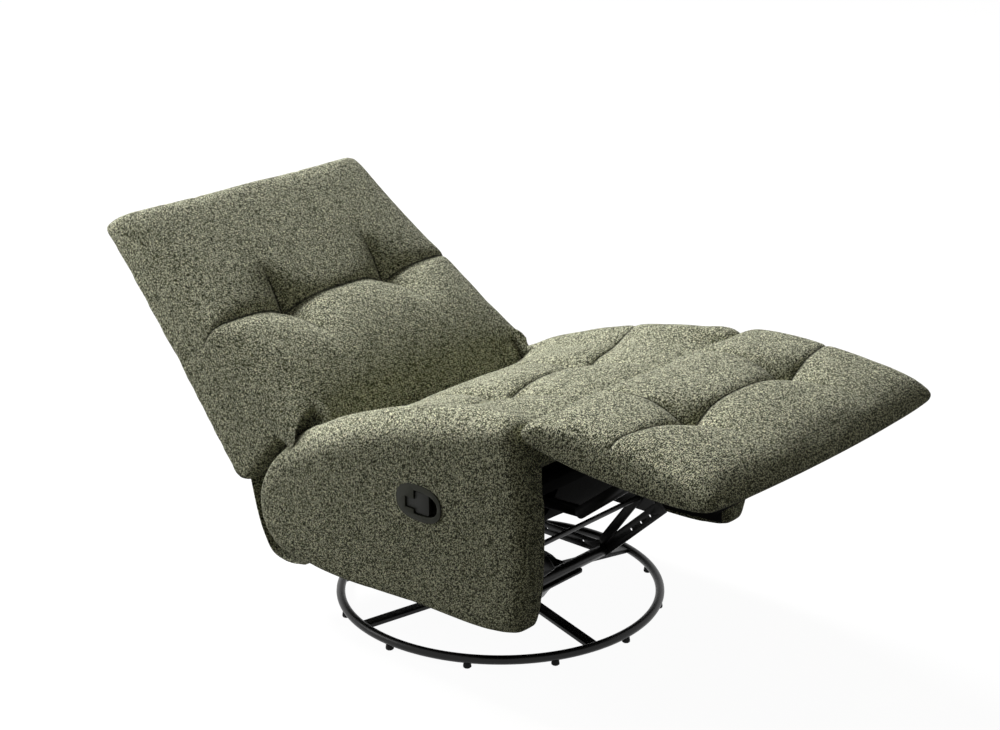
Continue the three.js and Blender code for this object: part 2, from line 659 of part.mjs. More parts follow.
// A rectangular prism between two corners in (y, z), along X from x = 0 inwards
function slab(lowY, lowZ, highY, highZ, depth) {
  const corners = [[lowY, lowZ], [highY, lowZ], [highY, highZ], [lowY, highZ]];
  return solidOf(standing(new THREE.Shape(corners.map(([y, z]) => new THREE.Vector2(y, z))), depth));
}

function buildPanels() {
  const inner = panelGeometry();
  const left = solidOf(inner).translate([seat.innerX, 0, 0]);
  const mirrored = solidOf(inner).mirror([1, 0, 0]).translate([-seat.innerX, 0, 0]);
  addPiece(chair, 'side_panel_left', geometryOf(left), 'cloth');
  const pocketX = -seat.halfWidth - overrun;
  const cupLength = handle.halfLength - handle.rim;
  const cupHeight = handle.halfHeight - handle.rim;
  const pocket = oval(cupLength + gap, cupHeight + gap, handle.depth + overrun + gap)
    .translate([pocketX, handle.y, handle.z]);
  addPiece(chair, 'side_panel_right', geometryOf(mirrored.subtract(pocket)), 'cloth');

  const face = -seat.halfWidth - gap;
  const { mouthFrontRim, mouthSideRim, groove, paddleRear: rear, tabLength, tabHigh, tabLow } = handle;
  const flange = oval(handle.halfLength, handle.halfHeight, handle.flange).translate([-handle.flange, 0, 0]);
  const cup = oval(cupLength, cupHeight, handle.depth).translate([-gap, 0, 0]);
  const hollow = oval(cupLength - handle.wall, cupHeight - handle.wall, handle.depth - handle.wall);
  const mouthDepth = handle.flange + 2 * overrun;
  const frontHalf = slab(-handle.halfLength, -handle.halfHeight, rear + groove, handle.halfHeight, mouthDepth);
  const mouth = oval(handle.halfLength - mouthFrontRim, handle.halfHeight - mouthSideRim, mouthDepth)
    .intersect(frontHalf)
    .add(slab(0, -tabLow - groove, rear + tabLength + groove, tabHigh + groove, mouthDepth))
    .translate([-handle.flange - overrun, 0, 0]);
  const escutcheon = flange.add(cup).subtract(hollow).subtract(mouth)
    .translate([face, handle.y, handle.z]);
  addPiece(chair, 'handle_escutcheon', geometryOf(escutcheon), 'plastic');

  const shape = new THREE.Shape();
  const halfPaddle = handle.paddleHeight / 2;
  const front = -handle.paddleFront;
  const { corner } = handle;
  shape.moveTo(rear, -tabLow);
  shape.lineTo(rear + tabLength, -tabLow);
  shape.lineTo(rear + tabLength, tabHigh);
  shape.lineTo(rear, tabHigh);
  shape.absarc(rear - corner, halfPaddle - corner, corner, 0, Math.PI / 2, false);
  shape.absarc(corner + front, halfPaddle - corner, corner, Math.PI / 2, Math.PI, false);
  shape.absarc(corner + front, corner - halfPaddle, corner, Math.PI, -Math.PI / 2, false);
  shape.absarc(rear - corner, corner - halfPaddle, corner, -Math.PI / 2, 0, false);
  shape.closePath();
  const blade = solidOf(standing(shape, handle.paddleThickness, 6));
  const barrelY = rear - handle.barrelRadius;
  const upright = (radius, length) => {
    const cylinder = new THREE.CylinderGeometry(radius, radius, length, 12);
    cylinder.rotateX(Math.PI / 2);
    return solidOf(cylinder).translate([handle.paddleThickness, barrelY, 0]);
  };
  const pinShare = Math.abs(barrelY + handle.pinRadius) / (cupLength - handle.wall);
  const cupHalf = (cupHeight - handle.wall) * (1 - pinShare ** ovalPower) ** (1 / ovalPower);
  const paddle = blade.add(upright(handle.barrelRadius, handle.paddleHeight))
    .add(upright(handle.pinRadius, 2 * (cupHalf - gap)))
    .translate([face, handle.y, handle.z]);
  addPiece(chair, 'release_paddle', geometryOf(paddle), 'plastic');
}

// The back's padding as a closed form, with its round lower end about the hinge
function backPad() {
  const full = back.length + back.round;
  const start = (b) => ((b + 1) / 2) * full;
  const rise = (distance, radius) => {
    const left = Math.max(0, 1 - distance / radius);
    return Math.sqrt(1 - left * left);
  };
  const alongAt = (a, b) => start(b) - back.round - back.topDrawnIn * (1 - a * a) * (start(b) / full) ** 3;
  const halfX = (b) => back.halfWidth - back.drawnIn * (1 - b * b);
  const open = (a, b) => blunt(a, 11) * rise(start(b), back.round) * rise(full - start(b), back.topRound);
  const rim = (b) => {
    const along = start(b) - back.round;
    const share = mix(rimShares.low, rimShares.high, Math.max(0, along / back.length));
    return -padThickness(along) * share;
  };
  const topAt = (a, b) => {
    const x = a * halfX(b);
    const along = alongAt(a, b);
    const fullness = open(a, b);
    const seams = back.seamDepth * Math.max(
      dip(Math.abs(x) - back.tuftX, back.seamSpread), dip(along - back.tuftAlong, back.seamSpread));
    const tufts = back.tuftDepth * dip(
      Math.hypot(Math.abs(x) - back.tuftX, along - back.tuftAlong), back.tuftSpread);
    const clear = Math.min(1, Math.max(0, along / back.crownStart - 1));
    const crown = back.crown * (1 - a * a) * (1 - b * b) * clear;
    const past = Math.min(1, Math.max(0, along / back.crownStart));
    const sunk = Math.max(seams, tufts) * fullness * fullness * past;
    const [y, z] = onBack(along, rim(b) * (1 - fullness) + crown * fullness - sunk);
    return [x, y, z];
  };
  const bottomAt = (a, b) => {
    const along = alongAt(a, b);
    const depth = -padThickness(along);
    const [y, z] = onBack(along, mix(rim(b), depth, open(a, b)));
    return [a * halfX(b), y, z];
  };
  return solidOf(paddedForm(formGrid.backCount, formGrid.alongCount, topAt, bottomAt));
}

// The shell's section: the pad's rear face, a rounded heel and a slightly hollow rear line
function backShellSection() {
  const under = (along) => onBack(along, -padThickness(along) - 2 * gap);
  const lowEnd = back.shellLow + back.shellHeel;
  const depthAt = (share) => {
    const hollow = back.shellHollow * Math.sin(Math.PI * share);
    return mix(back.shellDeep, back.padHigh, share) - hollow;
  };
  const points = [under(back.shellStart), onBack(back.shellLow, back.shellHeel - back.shellDeep)];
  const steps = 8;
  for (let i = 0; i <= steps; i += 1) {
    const along = mix(lowEnd, back.length, i / steps);
    const depth = depthAt(i / steps);
    if (depth > padThickness(along) + back.shellEdge) points.push(onBack(along, -depth));
    else points.push(under(along - back.topRound));
  }
  return new THREE.Shape(points.map(([y, z]) => new THREE.Vector2(y, z)));
}

function buildBack() {
  let shell = solidOf(standing(backShellSection(), 2 * back.shellHalfWidth))
    .translate([-back.shellHalfWidth, 0, 0]);
  let cushion = backPad();

  const rearEdge = panelOutline().filter((point) => point.x > seat.rearY - back.padLow);
  const cutter = solidOf(standing(new THREE.Shape([
    ...rearEdge.map((point) => new THREE.Vector2(point.x + gap, point.y + gap)),
    new THREE.Vector2(seat.rearY - back.padLow, panel.heelZ),
  ]), seat.panelThickness + 2 * overrun));
  const sweeps = 4;
  for (const x of [seat.innerX - overrun, -seat.innerX - seat.panelThickness - overrun]) {
    for (let i = 0; i <= sweeps; i += 1) {
      const turned = cutter.translate([x, -back.hingeY, -back.hingeZ])
        .rotate([(-back.upright * i) / sweeps, 0, 0]).translate([0, back.hingeY, back.hingeZ]);
      cushion = cushion.subtract(turned);
    }
  }

  const hinge = [back.hingeY, back.hingeZ];
  const toward = onBack(back.bracketLength, -padThickness(back.bracketLength) - back.bracketWidth);
  const bracketShape = barShape(hinge, toward, back.bracketWidth);
  roundHole(bracketShape, ...hinge, back.pinRadius + gap);
  const bracket = standing(bracketShape, frame.steel, 8);
  const slotShape = barShape(hinge, toward, back.bracketWidth + 2 * gap);
  const slot = solidOf(standing(slotShape, frame.steel + 2 * gap, 8));
  const lugRoom = new THREE.Shape();
  lugRoom.moveTo(back.hingeY - back.padLow, back.hingeZ + 2 * back.lugRadius);
  lugRoom.lineTo(back.hingeY - back.padLow, back.hingeZ - back.padLow);
  lugRoom.lineTo(back.hingeY + back.lugRadius + overrun, back.hingeZ - back.padLow);
  lugRoom.lineTo(back.hingeY + back.lugRadius + overrun, back.hingeZ + 2 * back.lugRadius);
  const lugSlot = solidOf(standing(lugRoom, frame.steel + 2 * overrun));
  const headGap = back.pinHeadThickness + gap;
  const pinSpan = 2 * frame.steel + gap;
  const pinRoom = solidOf(rod(back.pinHead + overrun, pinSpan + 2 * headGap + 2 * overrun));
  const pinTurned = revolve([
    [0, 0], [back.pinHead, 0], [back.pinHead, back.pinHeadThickness], [back.pinRadius, back.pinHeadThickness],
    [back.pinRadius, pinSpan + 2 * gap + back.pinHeadThickness],
    [back.pinHead, pinSpan + 2 * gap + back.pinHeadThickness],
    [back.pinHead, pinSpan + 2 * headGap], [0, pinSpan + 2 * headGap],
  ], 16);
  pinTurned.rotateY(Math.PI / 2);
  const pin = solidOf(pinTurned).translate([frame.railX - headGap, ...hinge]);
  for (const [side, sign] of [['left', 1], ['right', -1]]) {
    const put = (solid, x) => {
      const placed = solid.translate([x, 0, 0]);
      return sign > 0 ? placed : placed.mirror([1, 0, 0]);
    };
    const bracketX = frame.railX + frame.steel + gap;
    shell = shell.subtract(put(slot, bracketX - gap));
    cushion = cushion.subtract(put(slot, bracketX - gap))
      .subtract(put(lugSlot, frame.railX - overrun))
      .subtract(put(pinRoom, frame.railX - headGap - overrun).translate([0, ...hinge]));
    addPiece(chair, `back_bracket_${side}`, geometryOf(put(solidOf(bracket), bracketX)), 'steel');
    addPiece(chair, `back_hinge_pin_${side}`, geometryOf(put(pin, 0)), 'steel');
  }
  addPiece(chair, 'back_shell', geometryOf(shell), 'cloth');
  addPiece(chair, 'back_cushion', geometryOf(cushion), 'cloth');
}

// Rear skirt, hung from the shell's heel, down in a belly and tacked under the panels' feet
function buildSkirt() {
  const half = skirt.thickness / 2;
  const [heelY, heelZ] = onBack(back.shellLow + back.shellHeel / 2, -back.shellDeep + back.shellHeel / 2);
  const top = [heelY, heelZ - half - 2 * gap];
  const drop = top[1] - skirt.lowZ;
  const hemZ = panelFootZ(skirt.hemY - half) - gap;
  const route = new THREE.CatmullRomCurve3([
    top,
    ...skirtDropShares.map(([yShare, zShare]) => [mix(top[0], skirt.lowY, yShare), top[1] - drop * zShare]),
    [skirt.lowY, skirt.lowZ],
    ...skirtHemShares.map(([yShare, zShare]) => [
      mix(skirt.lowY, skirt.hemY, yShare), mix(skirt.lowZ, hemZ, zShare)]),
    [skirt.hemY, hemZ],
  ].map(([y, z]) => new THREE.Vector3(0, y, z)));
  const steps = 20;
  const outer = [];
  const inner = [];
  for (let i = 0; i <= steps; i += 1) {
    const at = route.getPointAt(i / steps);
    const run = route.getTangentAt(i / steps);
    outer.push(new THREE.Vector2(at.y - run.z * half, at.z + run.y * half));
    inner.push(new THREE.Vector2(at.y + run.z * half, at.z - run.y * half));
  }
  const section = new THREE.Shape([...outer, ...inner.reverse()]);
  const cloth = standing(section, 2 * skirt.halfWidth);
  addPiece(chair, 'rear_skirt', cloth, 'cloth').position.x = -skirt.halfWidth;
}

function buildFootrest() {
  const pivot = [foot.pivotY, foot.pivotZ];
  const toe = [foot.toeY, foot.toeZ];
  const span = Math.hypot(toe[0] - pivot[0], toe[1] - pivot[1]);
  const lean = Math.acos(span / 2 / foot.linkLength);
  const line = Math.atan2(toe[1] - pivot[1], pivot[0] - toe[0]);
  const elbow = [
    pivot[0] - foot.linkLength * Math.cos(line - lean),
    pivot[1] + foot.linkLength * Math.sin(line - lean),
  ];
  const lowerShape = barShape(pivot, elbow, foot.linkWidth);
  roundHole(lowerShape, elbow[0], elbow[1], foot.linkPin + gap);
  const upperShape = barShape(elbow, toe, foot.linkWidth);
  roundHole(upperShape, toe[0], toe[1], foot.linkPin + gap);
  const bracketTop = foot.boardBottomZ - gap;
  const bracketShape = new THREE.Shape();
  bracketShape.moveTo(foot.bracketRearY, bracketTop);
  bracketShape.lineTo(foot.bracketRearY, bracketTop - foot.bracketHeight);
  bracketShape.lineTo(toe[0] + foot.linkWidth, bracketTop - foot.bracketHeight);
  bracketShape.absarc(toe[0], toe[1], foot.linkWidth / 2, 0, Math.PI, true);
  bracketShape.lineTo(toe[0] - foot.linkWidth, bracketTop - foot.bracketHeight);
  bracketShape.lineTo(foot.bracketFrontY, bracketTop - foot.bracketHeight);
  bracketShape.lineTo(foot.bracketFrontY, bracketTop);
  bracketShape.closePath();

  const steel = frame.steel;
  const lowerPlane = frame.railX + steel + gap;
  const upperPlane = lowerPlane + steel + gap;
  const pin = solidOf(rod(foot.linkPin, 2 * steel + gap, 14));
  const bar = (shape) => solidOf(standing(shape, steel, 8));
  const lower = bar(lowerShape).add(pin.translate([-steel - gap, ...pivot]));
  const upper = bar(upperShape).add(pin.translate([-steel - gap, ...elbow]));
  const bracket = bar(bracketShape).add(pin.translate([0, ...toe]));
  for (const [side, sign] of [['left', 1], ['right', -1]]) {
    const put = (name, solid, x, look) => {
      const placed = solid.translate([x, 0, 0]);
      addPiece(chair, `${name}_${side}`, geometryOf(sign > 0 ? placed : placed.mirror([1, 0, 0])), look);
    };
    put('footrest_lower_link', lower, lowerPlane, 'blackMetal');
    put('footrest_upper_link', upper, upperPlane, 'blackMetal');
    put('footrest_bracket', bracket, lowerPlane, 'blackMetal');
  }

  const boardLength = foot.boardRearY - foot.boardFrontY;
  const board = new THREE.BoxGeometry(2 * foot.boardHalfX, boardLength, foot.boardThickness);
  addPiece(chair, 'footrest_board', board, 'wood')
    .position.set(0, foot.boardRearY - boardLength / 2, foot.boardBottomZ + foot.boardThickness / 2);

  const boardTop = foot.boardBottomZ + foot.boardThickness + gap;
  const bow = (a, b) => foot.frontBow * a * a * ((b + 1) / 2) ** 3;
  const yAt = (a, b) => mix(foot.rearY, foot.frontY, (b + 1) / 2) + bow(a, b);
  const midZ = (b) => mix(foot.rearZ, foot.frontZ, (b + 1) / 2);
  const halfX = (b) => foot.halfWidth - foot.drawnIn * (1 - b * b);
  const edge = (a, b) => blunt(a, 8) * blunt(b, 2.2);
  const topAt = (a, b) => {
    const x = a * halfX(b);
    const y = yAt(a, b);
    const open = edge(a, b);
    const seams = foot.seamDepth * Math.max(
      dip(Math.abs(x) - foot.tuftX, foot.seamSpread), dip(y - foot.tuftY, foot.seamSpread));
    const tufts = foot.tuftDepth * dip(Math.hypot(Math.abs(x) - foot.tuftX, y - foot.tuftY), foot.tuftSpread);
    const rise = foot.crown + foot.pillow * (1 - a * a);
    return [x, y, midZ(b) + rise * open - Math.max(seams, tufts) * open * open];
  };
  const bottomAt = (a, b) => {
    const z = midZ(b) - foot.belly * edge(a, b);
    return [a * halfX(b), yAt(a, b), z];
  };
  const form = solidOf(paddedForm(formGrid.acrossCount, formGrid.alongCount, topAt, bottomAt));
  const flat = new THREE.BoxGeometry(4 * foot.halfWidth, 4 * foot.halfWidth, 4 * foot.belly);
  const below = solidOf(flat).translate([0, yAt(0, 0), boardTop - 2 * foot.belly]);
  addPiece(chair, 'footrest_cushion', geometryOf(form.subtract(below)), 'cloth');
}

buildBase();
buildFrame();
buildSidePlates();
buildSeat();
buildPanels();
buildBack();
buildSkirt();
buildFootrest();

export default chair;
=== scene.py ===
"""A swivel recliner on a ring base, reclined, with its footrest out. Metres, +Z up, the sitter faces -Y."""
import math

import bmesh
import bpy
import numpy as np
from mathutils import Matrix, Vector, noise


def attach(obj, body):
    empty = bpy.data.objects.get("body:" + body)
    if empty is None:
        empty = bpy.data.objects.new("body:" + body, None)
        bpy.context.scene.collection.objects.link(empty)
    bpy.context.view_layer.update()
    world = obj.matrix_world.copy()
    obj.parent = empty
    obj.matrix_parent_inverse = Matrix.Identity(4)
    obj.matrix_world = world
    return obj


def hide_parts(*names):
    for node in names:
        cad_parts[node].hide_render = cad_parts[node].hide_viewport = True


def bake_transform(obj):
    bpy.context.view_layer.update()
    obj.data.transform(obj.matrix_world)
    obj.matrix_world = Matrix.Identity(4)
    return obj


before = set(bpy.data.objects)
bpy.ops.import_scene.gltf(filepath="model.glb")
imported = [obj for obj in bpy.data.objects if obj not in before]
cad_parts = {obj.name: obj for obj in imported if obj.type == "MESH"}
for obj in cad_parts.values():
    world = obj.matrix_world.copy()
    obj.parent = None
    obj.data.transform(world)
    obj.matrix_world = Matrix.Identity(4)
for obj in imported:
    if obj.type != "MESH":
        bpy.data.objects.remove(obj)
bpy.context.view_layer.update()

# Camera: where the photograph was taken from
CAMERA_PLACE = Vector((-2.9696, -2.5985, 1.9127))
CAMERA_LOOK = Vector((0.70888, 0.62058, -0.33521))
CAMERA_LENS = 74.88
SENSOR_WIDTH = 36.0

# Studio: two round lamps, the world's soft fill, and a floor that looks white from the camera
LAMPS = dict(
    top_lamp=dict(place=(0.35, 5.25, 4.95), target=(0.0, -0.1, 0.4), size=3.0, power=650),
    side_lamp=dict(place=(-1.15, 1.3, 1.0), target=(-0.3, 0.2, 0.35), size=0.8, power=6.4),
)
FILL = dict(color=(1.0, 0.98, 0.86, 1.0), strength=0.113)
FLOOR = dict(reach=12, below=0.0005, paint=(0.10, 0.10, 0.10, 1.0), dim=(0.10, 0.10, 0.085, 1.0), glow=0.96)
WHITE = (1, 1, 1, 1)

# Seat and side panels. The filling reaches over_panels past the panels' inner faces and stays above_deck over
# the deck, and its powers say how blunt its rims are.
SEAT = dict(
    half_width=0.370, inner=0.300, rear_y=0.186, front_y=-0.360, rear_z=0.430, rise=0.143, curve=1.85,
    tuck_y=0.214, crown=0.006, over_panels=0.006, above_deck=0.0006, side_power=40, end_power=3.5,
    deck_rear_z=0.300, deck_rise=0.125, deck_rear_y=0.186, deck_front_y=-0.330, deck_thickness=0.0124,
)
PANEL = dict(
    rear_y=0.333, front_y=-0.360, foot_front_z=0.158, foot_mid_z=0.140, foot_rear_z=0.133, foot_rear_y=0.190,
    heel_y=0.290, heel_z=0.149, rear_z=0.258, toe=0.007, nose_run=0.040, nose_drop=0.060,
    shoulder=0.062, edge=0.018, front_edge=0.026, inner_edge=0.007, edge_share=0.9, edge_change=0.04,
    tuck_in=0.004,
)
PANEL_STEPS = dict(outline=260, toe=4, top=9, nose=5, edge=9)
HEEL_BULGE_SHARES = (0.85, 0.40)
REAR_EDGE_SHARES = ((0.16, 0.32), (0.44, 0.66), (0.84, 0.95))

# Back: a pad on a wedge, measured along its front face from its foot and out from that face
BACK = dict(
    half_width=0.360, low=(0.206, 0.428), high=(0.755, 0.778), pad_low=0.100, pad_high=0.076, top_round=0.020,
    low_swell=0.024, high_swell=0.004, swell_from=-0.012, swell_power=0.8, side_power=4.2, drawn_in=0.006,
    top_drawn_in=0.009, shell_half=0.350, shell_start=0.038, shell_low=0.058, shell_deep=0.259,
    shell_heel=0.021, shell_hollow=0.005, shell_edge=0.012, shell_in_pad=0.012, shell_short=0.006,
    travel=38.0, panel_gap=0.003,
)
SHELL_STEPS = dict(rear=24, edge=5)
RIM_LOW_SHARE = 0.5
RIM_HIGH_SHARE = 0.85

# Footrest cushion, with the part of its underside that is painted near black as shade where it sits on its
# board
FOOT = dict(
    half_width=0.360, rear_y=-0.352, front_y=-0.796, front_bow=0.016, rear_z=0.558, front_z=0.534,
    crown=0.046, belly=0.046, pillow=0.008, drawn_in=0.006, side_power=8, end_power=2.2, board_top=0.5023,
    on_board=0.004, painted_shade_z=0.507, painted_shade_rise=0.004, painted_shade_front_y=-0.772, painted_shade_rear_y=-0.374,
    painted_shade_edge=0.002,
)

# Squares across and along each pad's grid, and sampled points in each stretch of a closed outline
PAD_STEPS = dict(seat=(90, 90), back=(110, 110), foot=(110, 90))
STRETCH_STEPS = 24

# Sewn tufts, two to a cover: across and along are a tuft's place and depth its depth. Its dip goes as far as
# reach along the cross seam, which is seam deep, and as far as run along its lengthwise seam. That seam is up
# deep on the side towards the sitter's head and down deep on the other, and fades out over up_fade and
# down_fade. A crease is wide near a tuft and narrow far from it. From the tufts to the edge the cross seam
# bows by bow, and it fades out from fade_from on.
SEAT_TUFTS = dict(
    across=0.122, along=-0.113, depth=0.040, seam=0.008, reach=0.058, run=0.066, wide=0.034, narrow=0.014,
    up=0.010, down=0.006, up_fade=9.0, down_fade=0.15, bow=0.030, edge=0.370, fade_from=0.21,
)
BACK_TUFTS = dict(
    across=0.150, along=0.292, depth=0.044, seam=0.004, reach=0.042, run=0.050, wide=0.027, narrow=0.013,
    up=0.003, down=0.005, up_fade=0.11, down_fade=0.15, bow=0.008, edge=0.360, fade_from=0.30,
)
FOOT_TUFTS = dict(
    across=0.150, along=-0.582, depth=0.040, seam=0.0035, reach=0.042, run=0.048, wide=0.030, narrow=0.011,
    up=0.006, down=0.007, up_fade=9.0, down_fade=0.08, bow=0.034, edge=0.360, fade_from=0.20,
)

# The creases' curves, the stitched line in them, and how far from the cross seam a lengthwise seam fades
CREASE = dict(bow_power=1.5, fade_power=1.3, flank_power=1.05, meet_power=6.0, gentle_side=1.5)
STITCH = dict(depth=0.0032, half_width=0.0055, power=1.5)
SEAM_FADE = (0.06, 0.12)

# How the simulation holds the seams: fully close to a tuft, and less along the seams that leave it
HOLD = dict(tuft=0.050, full_share=0.25, long_shares=(0.5, 1.5), cross=0.15, crease=0.008, levels=10)

# How far the seat's middle lies below the shoulders, and where it rises to them
SUNK = dict(depth=0.028, from_x=0.215, to_x=0.345)

# Which faces take part in a cover's tufts and seams. Pairs say where a share starts and where it is full.
SEAT_FACES = dict(
    up=(0.25, 0.75), shoulder_x=(0.300, 0.352), shoulder_share=0.25, over_deck=0.03, deck_fade=(0.0, 0.03),
    outer_x=(0.360, 0.368), outer_share=0.25, outer_rise=(-0.110, -0.060),
)
BACK_FACES = dict(
    front=(0.0, 0.5), front_out=(-0.06, -0.04), side=(0.5, 0.9), side_out=(-0.13, -0.06), side_share=0.45,
    foot=(0.0, 0.06), top_end=(0.075, 0.03),
)
FOOT_FACES = dict(up=(0.2, 0.6))

# Shares from which a seam starts to show and shows fully, from which the simulation holds a face by its seams,
# and under which it holds an inner face whole. Lengthwise seams show from HEAD_SIDE past the cross seam on.
SEAM_SHOWN = (0.2, 0.6)
SEWN_FROM = 0.3
PLAIN_TO = 0.2
HEAD_SIDE = (0.0, 0.03)

# Where and how firmly the simulation holds the rest of each cover
SEAT_HOLD = dict(
    inner_reach=0.008, low=(0.05, 0.10), outer=(0.6, 0.9), outer_x=(0.345, 0.365), low_share=0.85,
    low_reach=0.01, handle=(1.15, 1.45),
)
BACK_HOLD = dict(rear=(0.02, 0.05), rear_share=0.95, foot=(-0.06, 0.03))
FOOT_HOLD = dict(rim=(0.0, 0.03), rim_share=0.5)

# Room behind the seat for the back's lower end, by bands across and steps round the hinge
ROOM = dict(bands=16, steps=180, turns=20, spread=2, most=0.026, gap=0.002)

# How high the side panels reach up the back over its travel, and where its padding is wider than the seat.
# LAST_CELL keeps a point just inside the last cell of that table.
REACH = dict(outline=900, turns=14, slices=15, past=0.05, step=0.003, skip=0.02, beside=(0.014, 0.007))
LAST_CELL = 0.001

# Ring base
RING = dict(radius=0.333, tube=0.00925, height=0.01925, glides=12, steps=180, sides=28)

# Metal and plastic pieces: how their CAD faces are merged and how widely their sharp edges are broken
MERGE = dict(distance=1e-5, flat_angle=1.0, sharp_angle=40, segments=2)
EDGE = dict(
    thin_metal=0.0006, base_metal=0.0008, turned_metal=0.0005, rubber=0.0008, plastic=0.0009, board=0.0012,
)

# Angles past which an edge shows, in degrees
METAL_ANGLE = 30
SHEET_ANGLE = 40
COVER_ANGLE = 60
RING_ANGLE = 60

# Cloth work
VOXEL = 0.007
SIM_FRAMES = 14
SIM_CAP = 0.007
SIM_EASE = 30
SIM_GRIP = 0.15
SIM_PRESSURE = 4.0
SIM_GROW = 0.03
TINY = 1e-9

# Release handle: its moulding's oval in the right-hand panel, and the pocket cut for it
HANDLE = dict(y=-0.1215, z=0.3616, cup=(0.051, 0.030), power=2.5, depth=0.0292)
POCKET = dict(edge=0.003, flat_to=1.4)
FAR_OFF = 9.0

# Black lining on the panels' hidden inner faces
LINING = dict(
    thickness=0.0012, inset=0.008, front_inset=0.012, rear_y=0.186, below_deck=0.018, inner=0.2946,
    sag=0.0007, sag_scale=22, sag_row=3.0, columns=60, rows=30,
)

# Dust cover under the deck, between the side plates
DUST_COVER = dict(
    front_y=-0.318, fold_y=-0.225, rear_y=0.172, low_z=0.262, half_width=0.1785, below_deck=0.016, bend=0.03,
    middle_drop=0.003, sag=0.004, ripple_scale=9, ripple_row=7.0, steps=50,
)
FRONT_FOLD_SHARES = (0.75, 0.8)

# Rear skirt: its top on the back's heel, its belly and its hem under the panels' feet
SKIRT = dict(
    half_width=0.329, top=(0.0685, -0.2445), belly=(0.300, 0.1015), hem_y=0.228, hem_below=0.004,
    thickness=0.0018, fold=0.0035, fold_power=0.8, fold_scale=13.0, fold_drift=1.7, fold_start=5.0,
    fold_row=2.0, rows=60, columns=120,
)
SKIRT_DROP_SHARES = ((0.06, 0.15), (0.19, 0.42), (0.39, 0.72), (0.64, 0.94))
SKIRT_HEM_SHARES = ((0.6, 0.16), (0.92, 0.45))

# Boucle yarn: what fibres, patches and columns add to its loops' tone and height, and where colours change
YARN = dict(
    loop_scale=640.0, stray=0.0036, columns=1500.0, waver=5.0, tone=-0.265, fibre=0.42, patch=0.11,
    column=0.055, dark_to_middle=(0.47, 0.76), middle_to_light=(0.77, 0.86), fibre_height=0.45,
    column_height=0.12,
)
LOOP_LAYS = (((0.5, 0.6, 0.7), (2.0, 1.0, 1.0)), ((-0.6, 0.3, -0.9), (1.0, 2.0, 1.0)))
CLOTH_LIGHT = (0.97, 0.97, 0.72, 1.0)
CLOTH_MIDDLE = (0.215, 0.221, 0.122, 1.0)
CLOTH_DARK = (0.014, 0.016, 0.006, 1.0)
# Painted shade for the seams' grooves
PAINTED_SEAM_SHADE = (0.020, 0.020, 0.013, 1.0)
# Painted shade, near black, on the footrest cushion's underside
UNDERSIDE_PAINTED_SHADE = (0.005, 0.005, 0.005, 1.0)
DUST_SHADE = (0.16, 0.155, 0.145, 1.0)

# The seams' line of painted shade in their grooves and its bump, dust and wear on metal and plastic, and the
# lining's web and folds
PAINTED_SEAM_LINE = dict(edge=(0.0006, 0.0030), shade=0.8, sink=-2.0)
DUST = dict(seen=(0.45, 0.8), most=0.05, smoother=0.08, rougher=0.12)
WEAR = dict(seen=(0.3, 0.75), lighter=1.5)
LINING_WEB = dict(
    seen=(0.0, 0.8), dark=(0.003, 0.003, 0.003, 1.0), light=(0.008, 0.008, 0.0075, 1.0), fold=6.0,
)


def mix(a, b, t):
    return a + (b - a) * t


def smooth_step(low, high, value):
    t = np.clip((value - low) / (high - low), 0.0, 1.0)
    return t * t * (3.0 - 2.0 * t)


def new_piece(name, verts, faces):
    """A mesh object at the origin, its place in its mesh."""
    mesh = bpy.data.meshes.new(name)
    mesh.from_pydata([tuple(v) for v in verts], [], [tuple(f) for f in faces])
    mesh.update()
    piece = bpy.data.objects.new(name, mesh)
    bpy.context.scene.collection.objects.link(piece)
    return piece


def with_bmesh(piece, work):
    """Runs work on the piece's mesh opened as a bmesh."""
    bm = bmesh.new()
    bm.from_mesh(piece.data)
    work(bm)
    bm.to_mesh(piece.data)
    bm.free()
    piece.data.update()


def face_outwards(bm):
    bmesh.ops.recalc_face_normals(bm, faces=bm.faces[:])


def shade(piece, angle):
    """Smooth faces with sharp edges past an angle, in degrees."""
    limit = math.radians(angle)

    def work(bm):
        for face in bm.faces:
            face.smooth = True
        for edge in bm.edges:
            edge.smooth = len(edge.link_faces) != 2 or edge.calc_face_angle(0.0) < limit

    with_bmesh(piece, work)


def settled(piece):
    """Applies the piece's live modifiers and returns it."""
    graph = bpy.context.evaluated_depsgraph_get()
    mesh = bpy.data.meshes.new_from_object(piece.evaluated_get(graph), depsgraph=graph)
    piece.modifiers.clear()
    old = piece.data
    piece.data = mesh
    mesh.name = old.name
    bpy.data.meshes.remove(old)
    return piece


def points_of(piece):
    co = np.zeros(len(piece.data.vertices) * 3)
    piece.data.vertices.foreach_get("co", co)
    return co.reshape(-1, 3)


def normals_of(piece):
    normals = np.zeros(len(piece.data.vertices) * 3)
    piece.data.vertices.foreach_get("normal", normals)
    return normals.reshape(-1, 3)


def move_points(piece, points):
    piece.data.vertices.foreach_set("co", points.ravel())
    piece.data.update()


def finish_piece(piece, body, material, replaced):
    piece.data.materials.clear()
    piece.data.materials.append(material)
    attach(piece, body)
    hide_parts(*replaced)
    return piece


# Nodes and materials

def node_adder(tree):
    """Returns a function that adds a node, sets its values and then sets or links its inputs."""

    def add(kind, inputs=None, **values):
        node = tree.nodes.new(kind)
        for key, value in values.items():
            setattr(node, key, value)
        feed(node, inputs or {})
        return node

    return add


def feed(node, inputs):
    """Sets a node's inputs, and links those whose value is another node's socket."""
    for key, value in inputs.items():
        if isinstance(value, bpy.types.NodeSocket):
            node.id_data.links.new(value, node.inputs[key])
        else:
            node.inputs[key].default_value = value


def worked_out(add, operation, *values):
    """A Math node's result."""
    return add("ShaderNodeMath", dict(enumerate(values)), operation=operation).outputs[0]


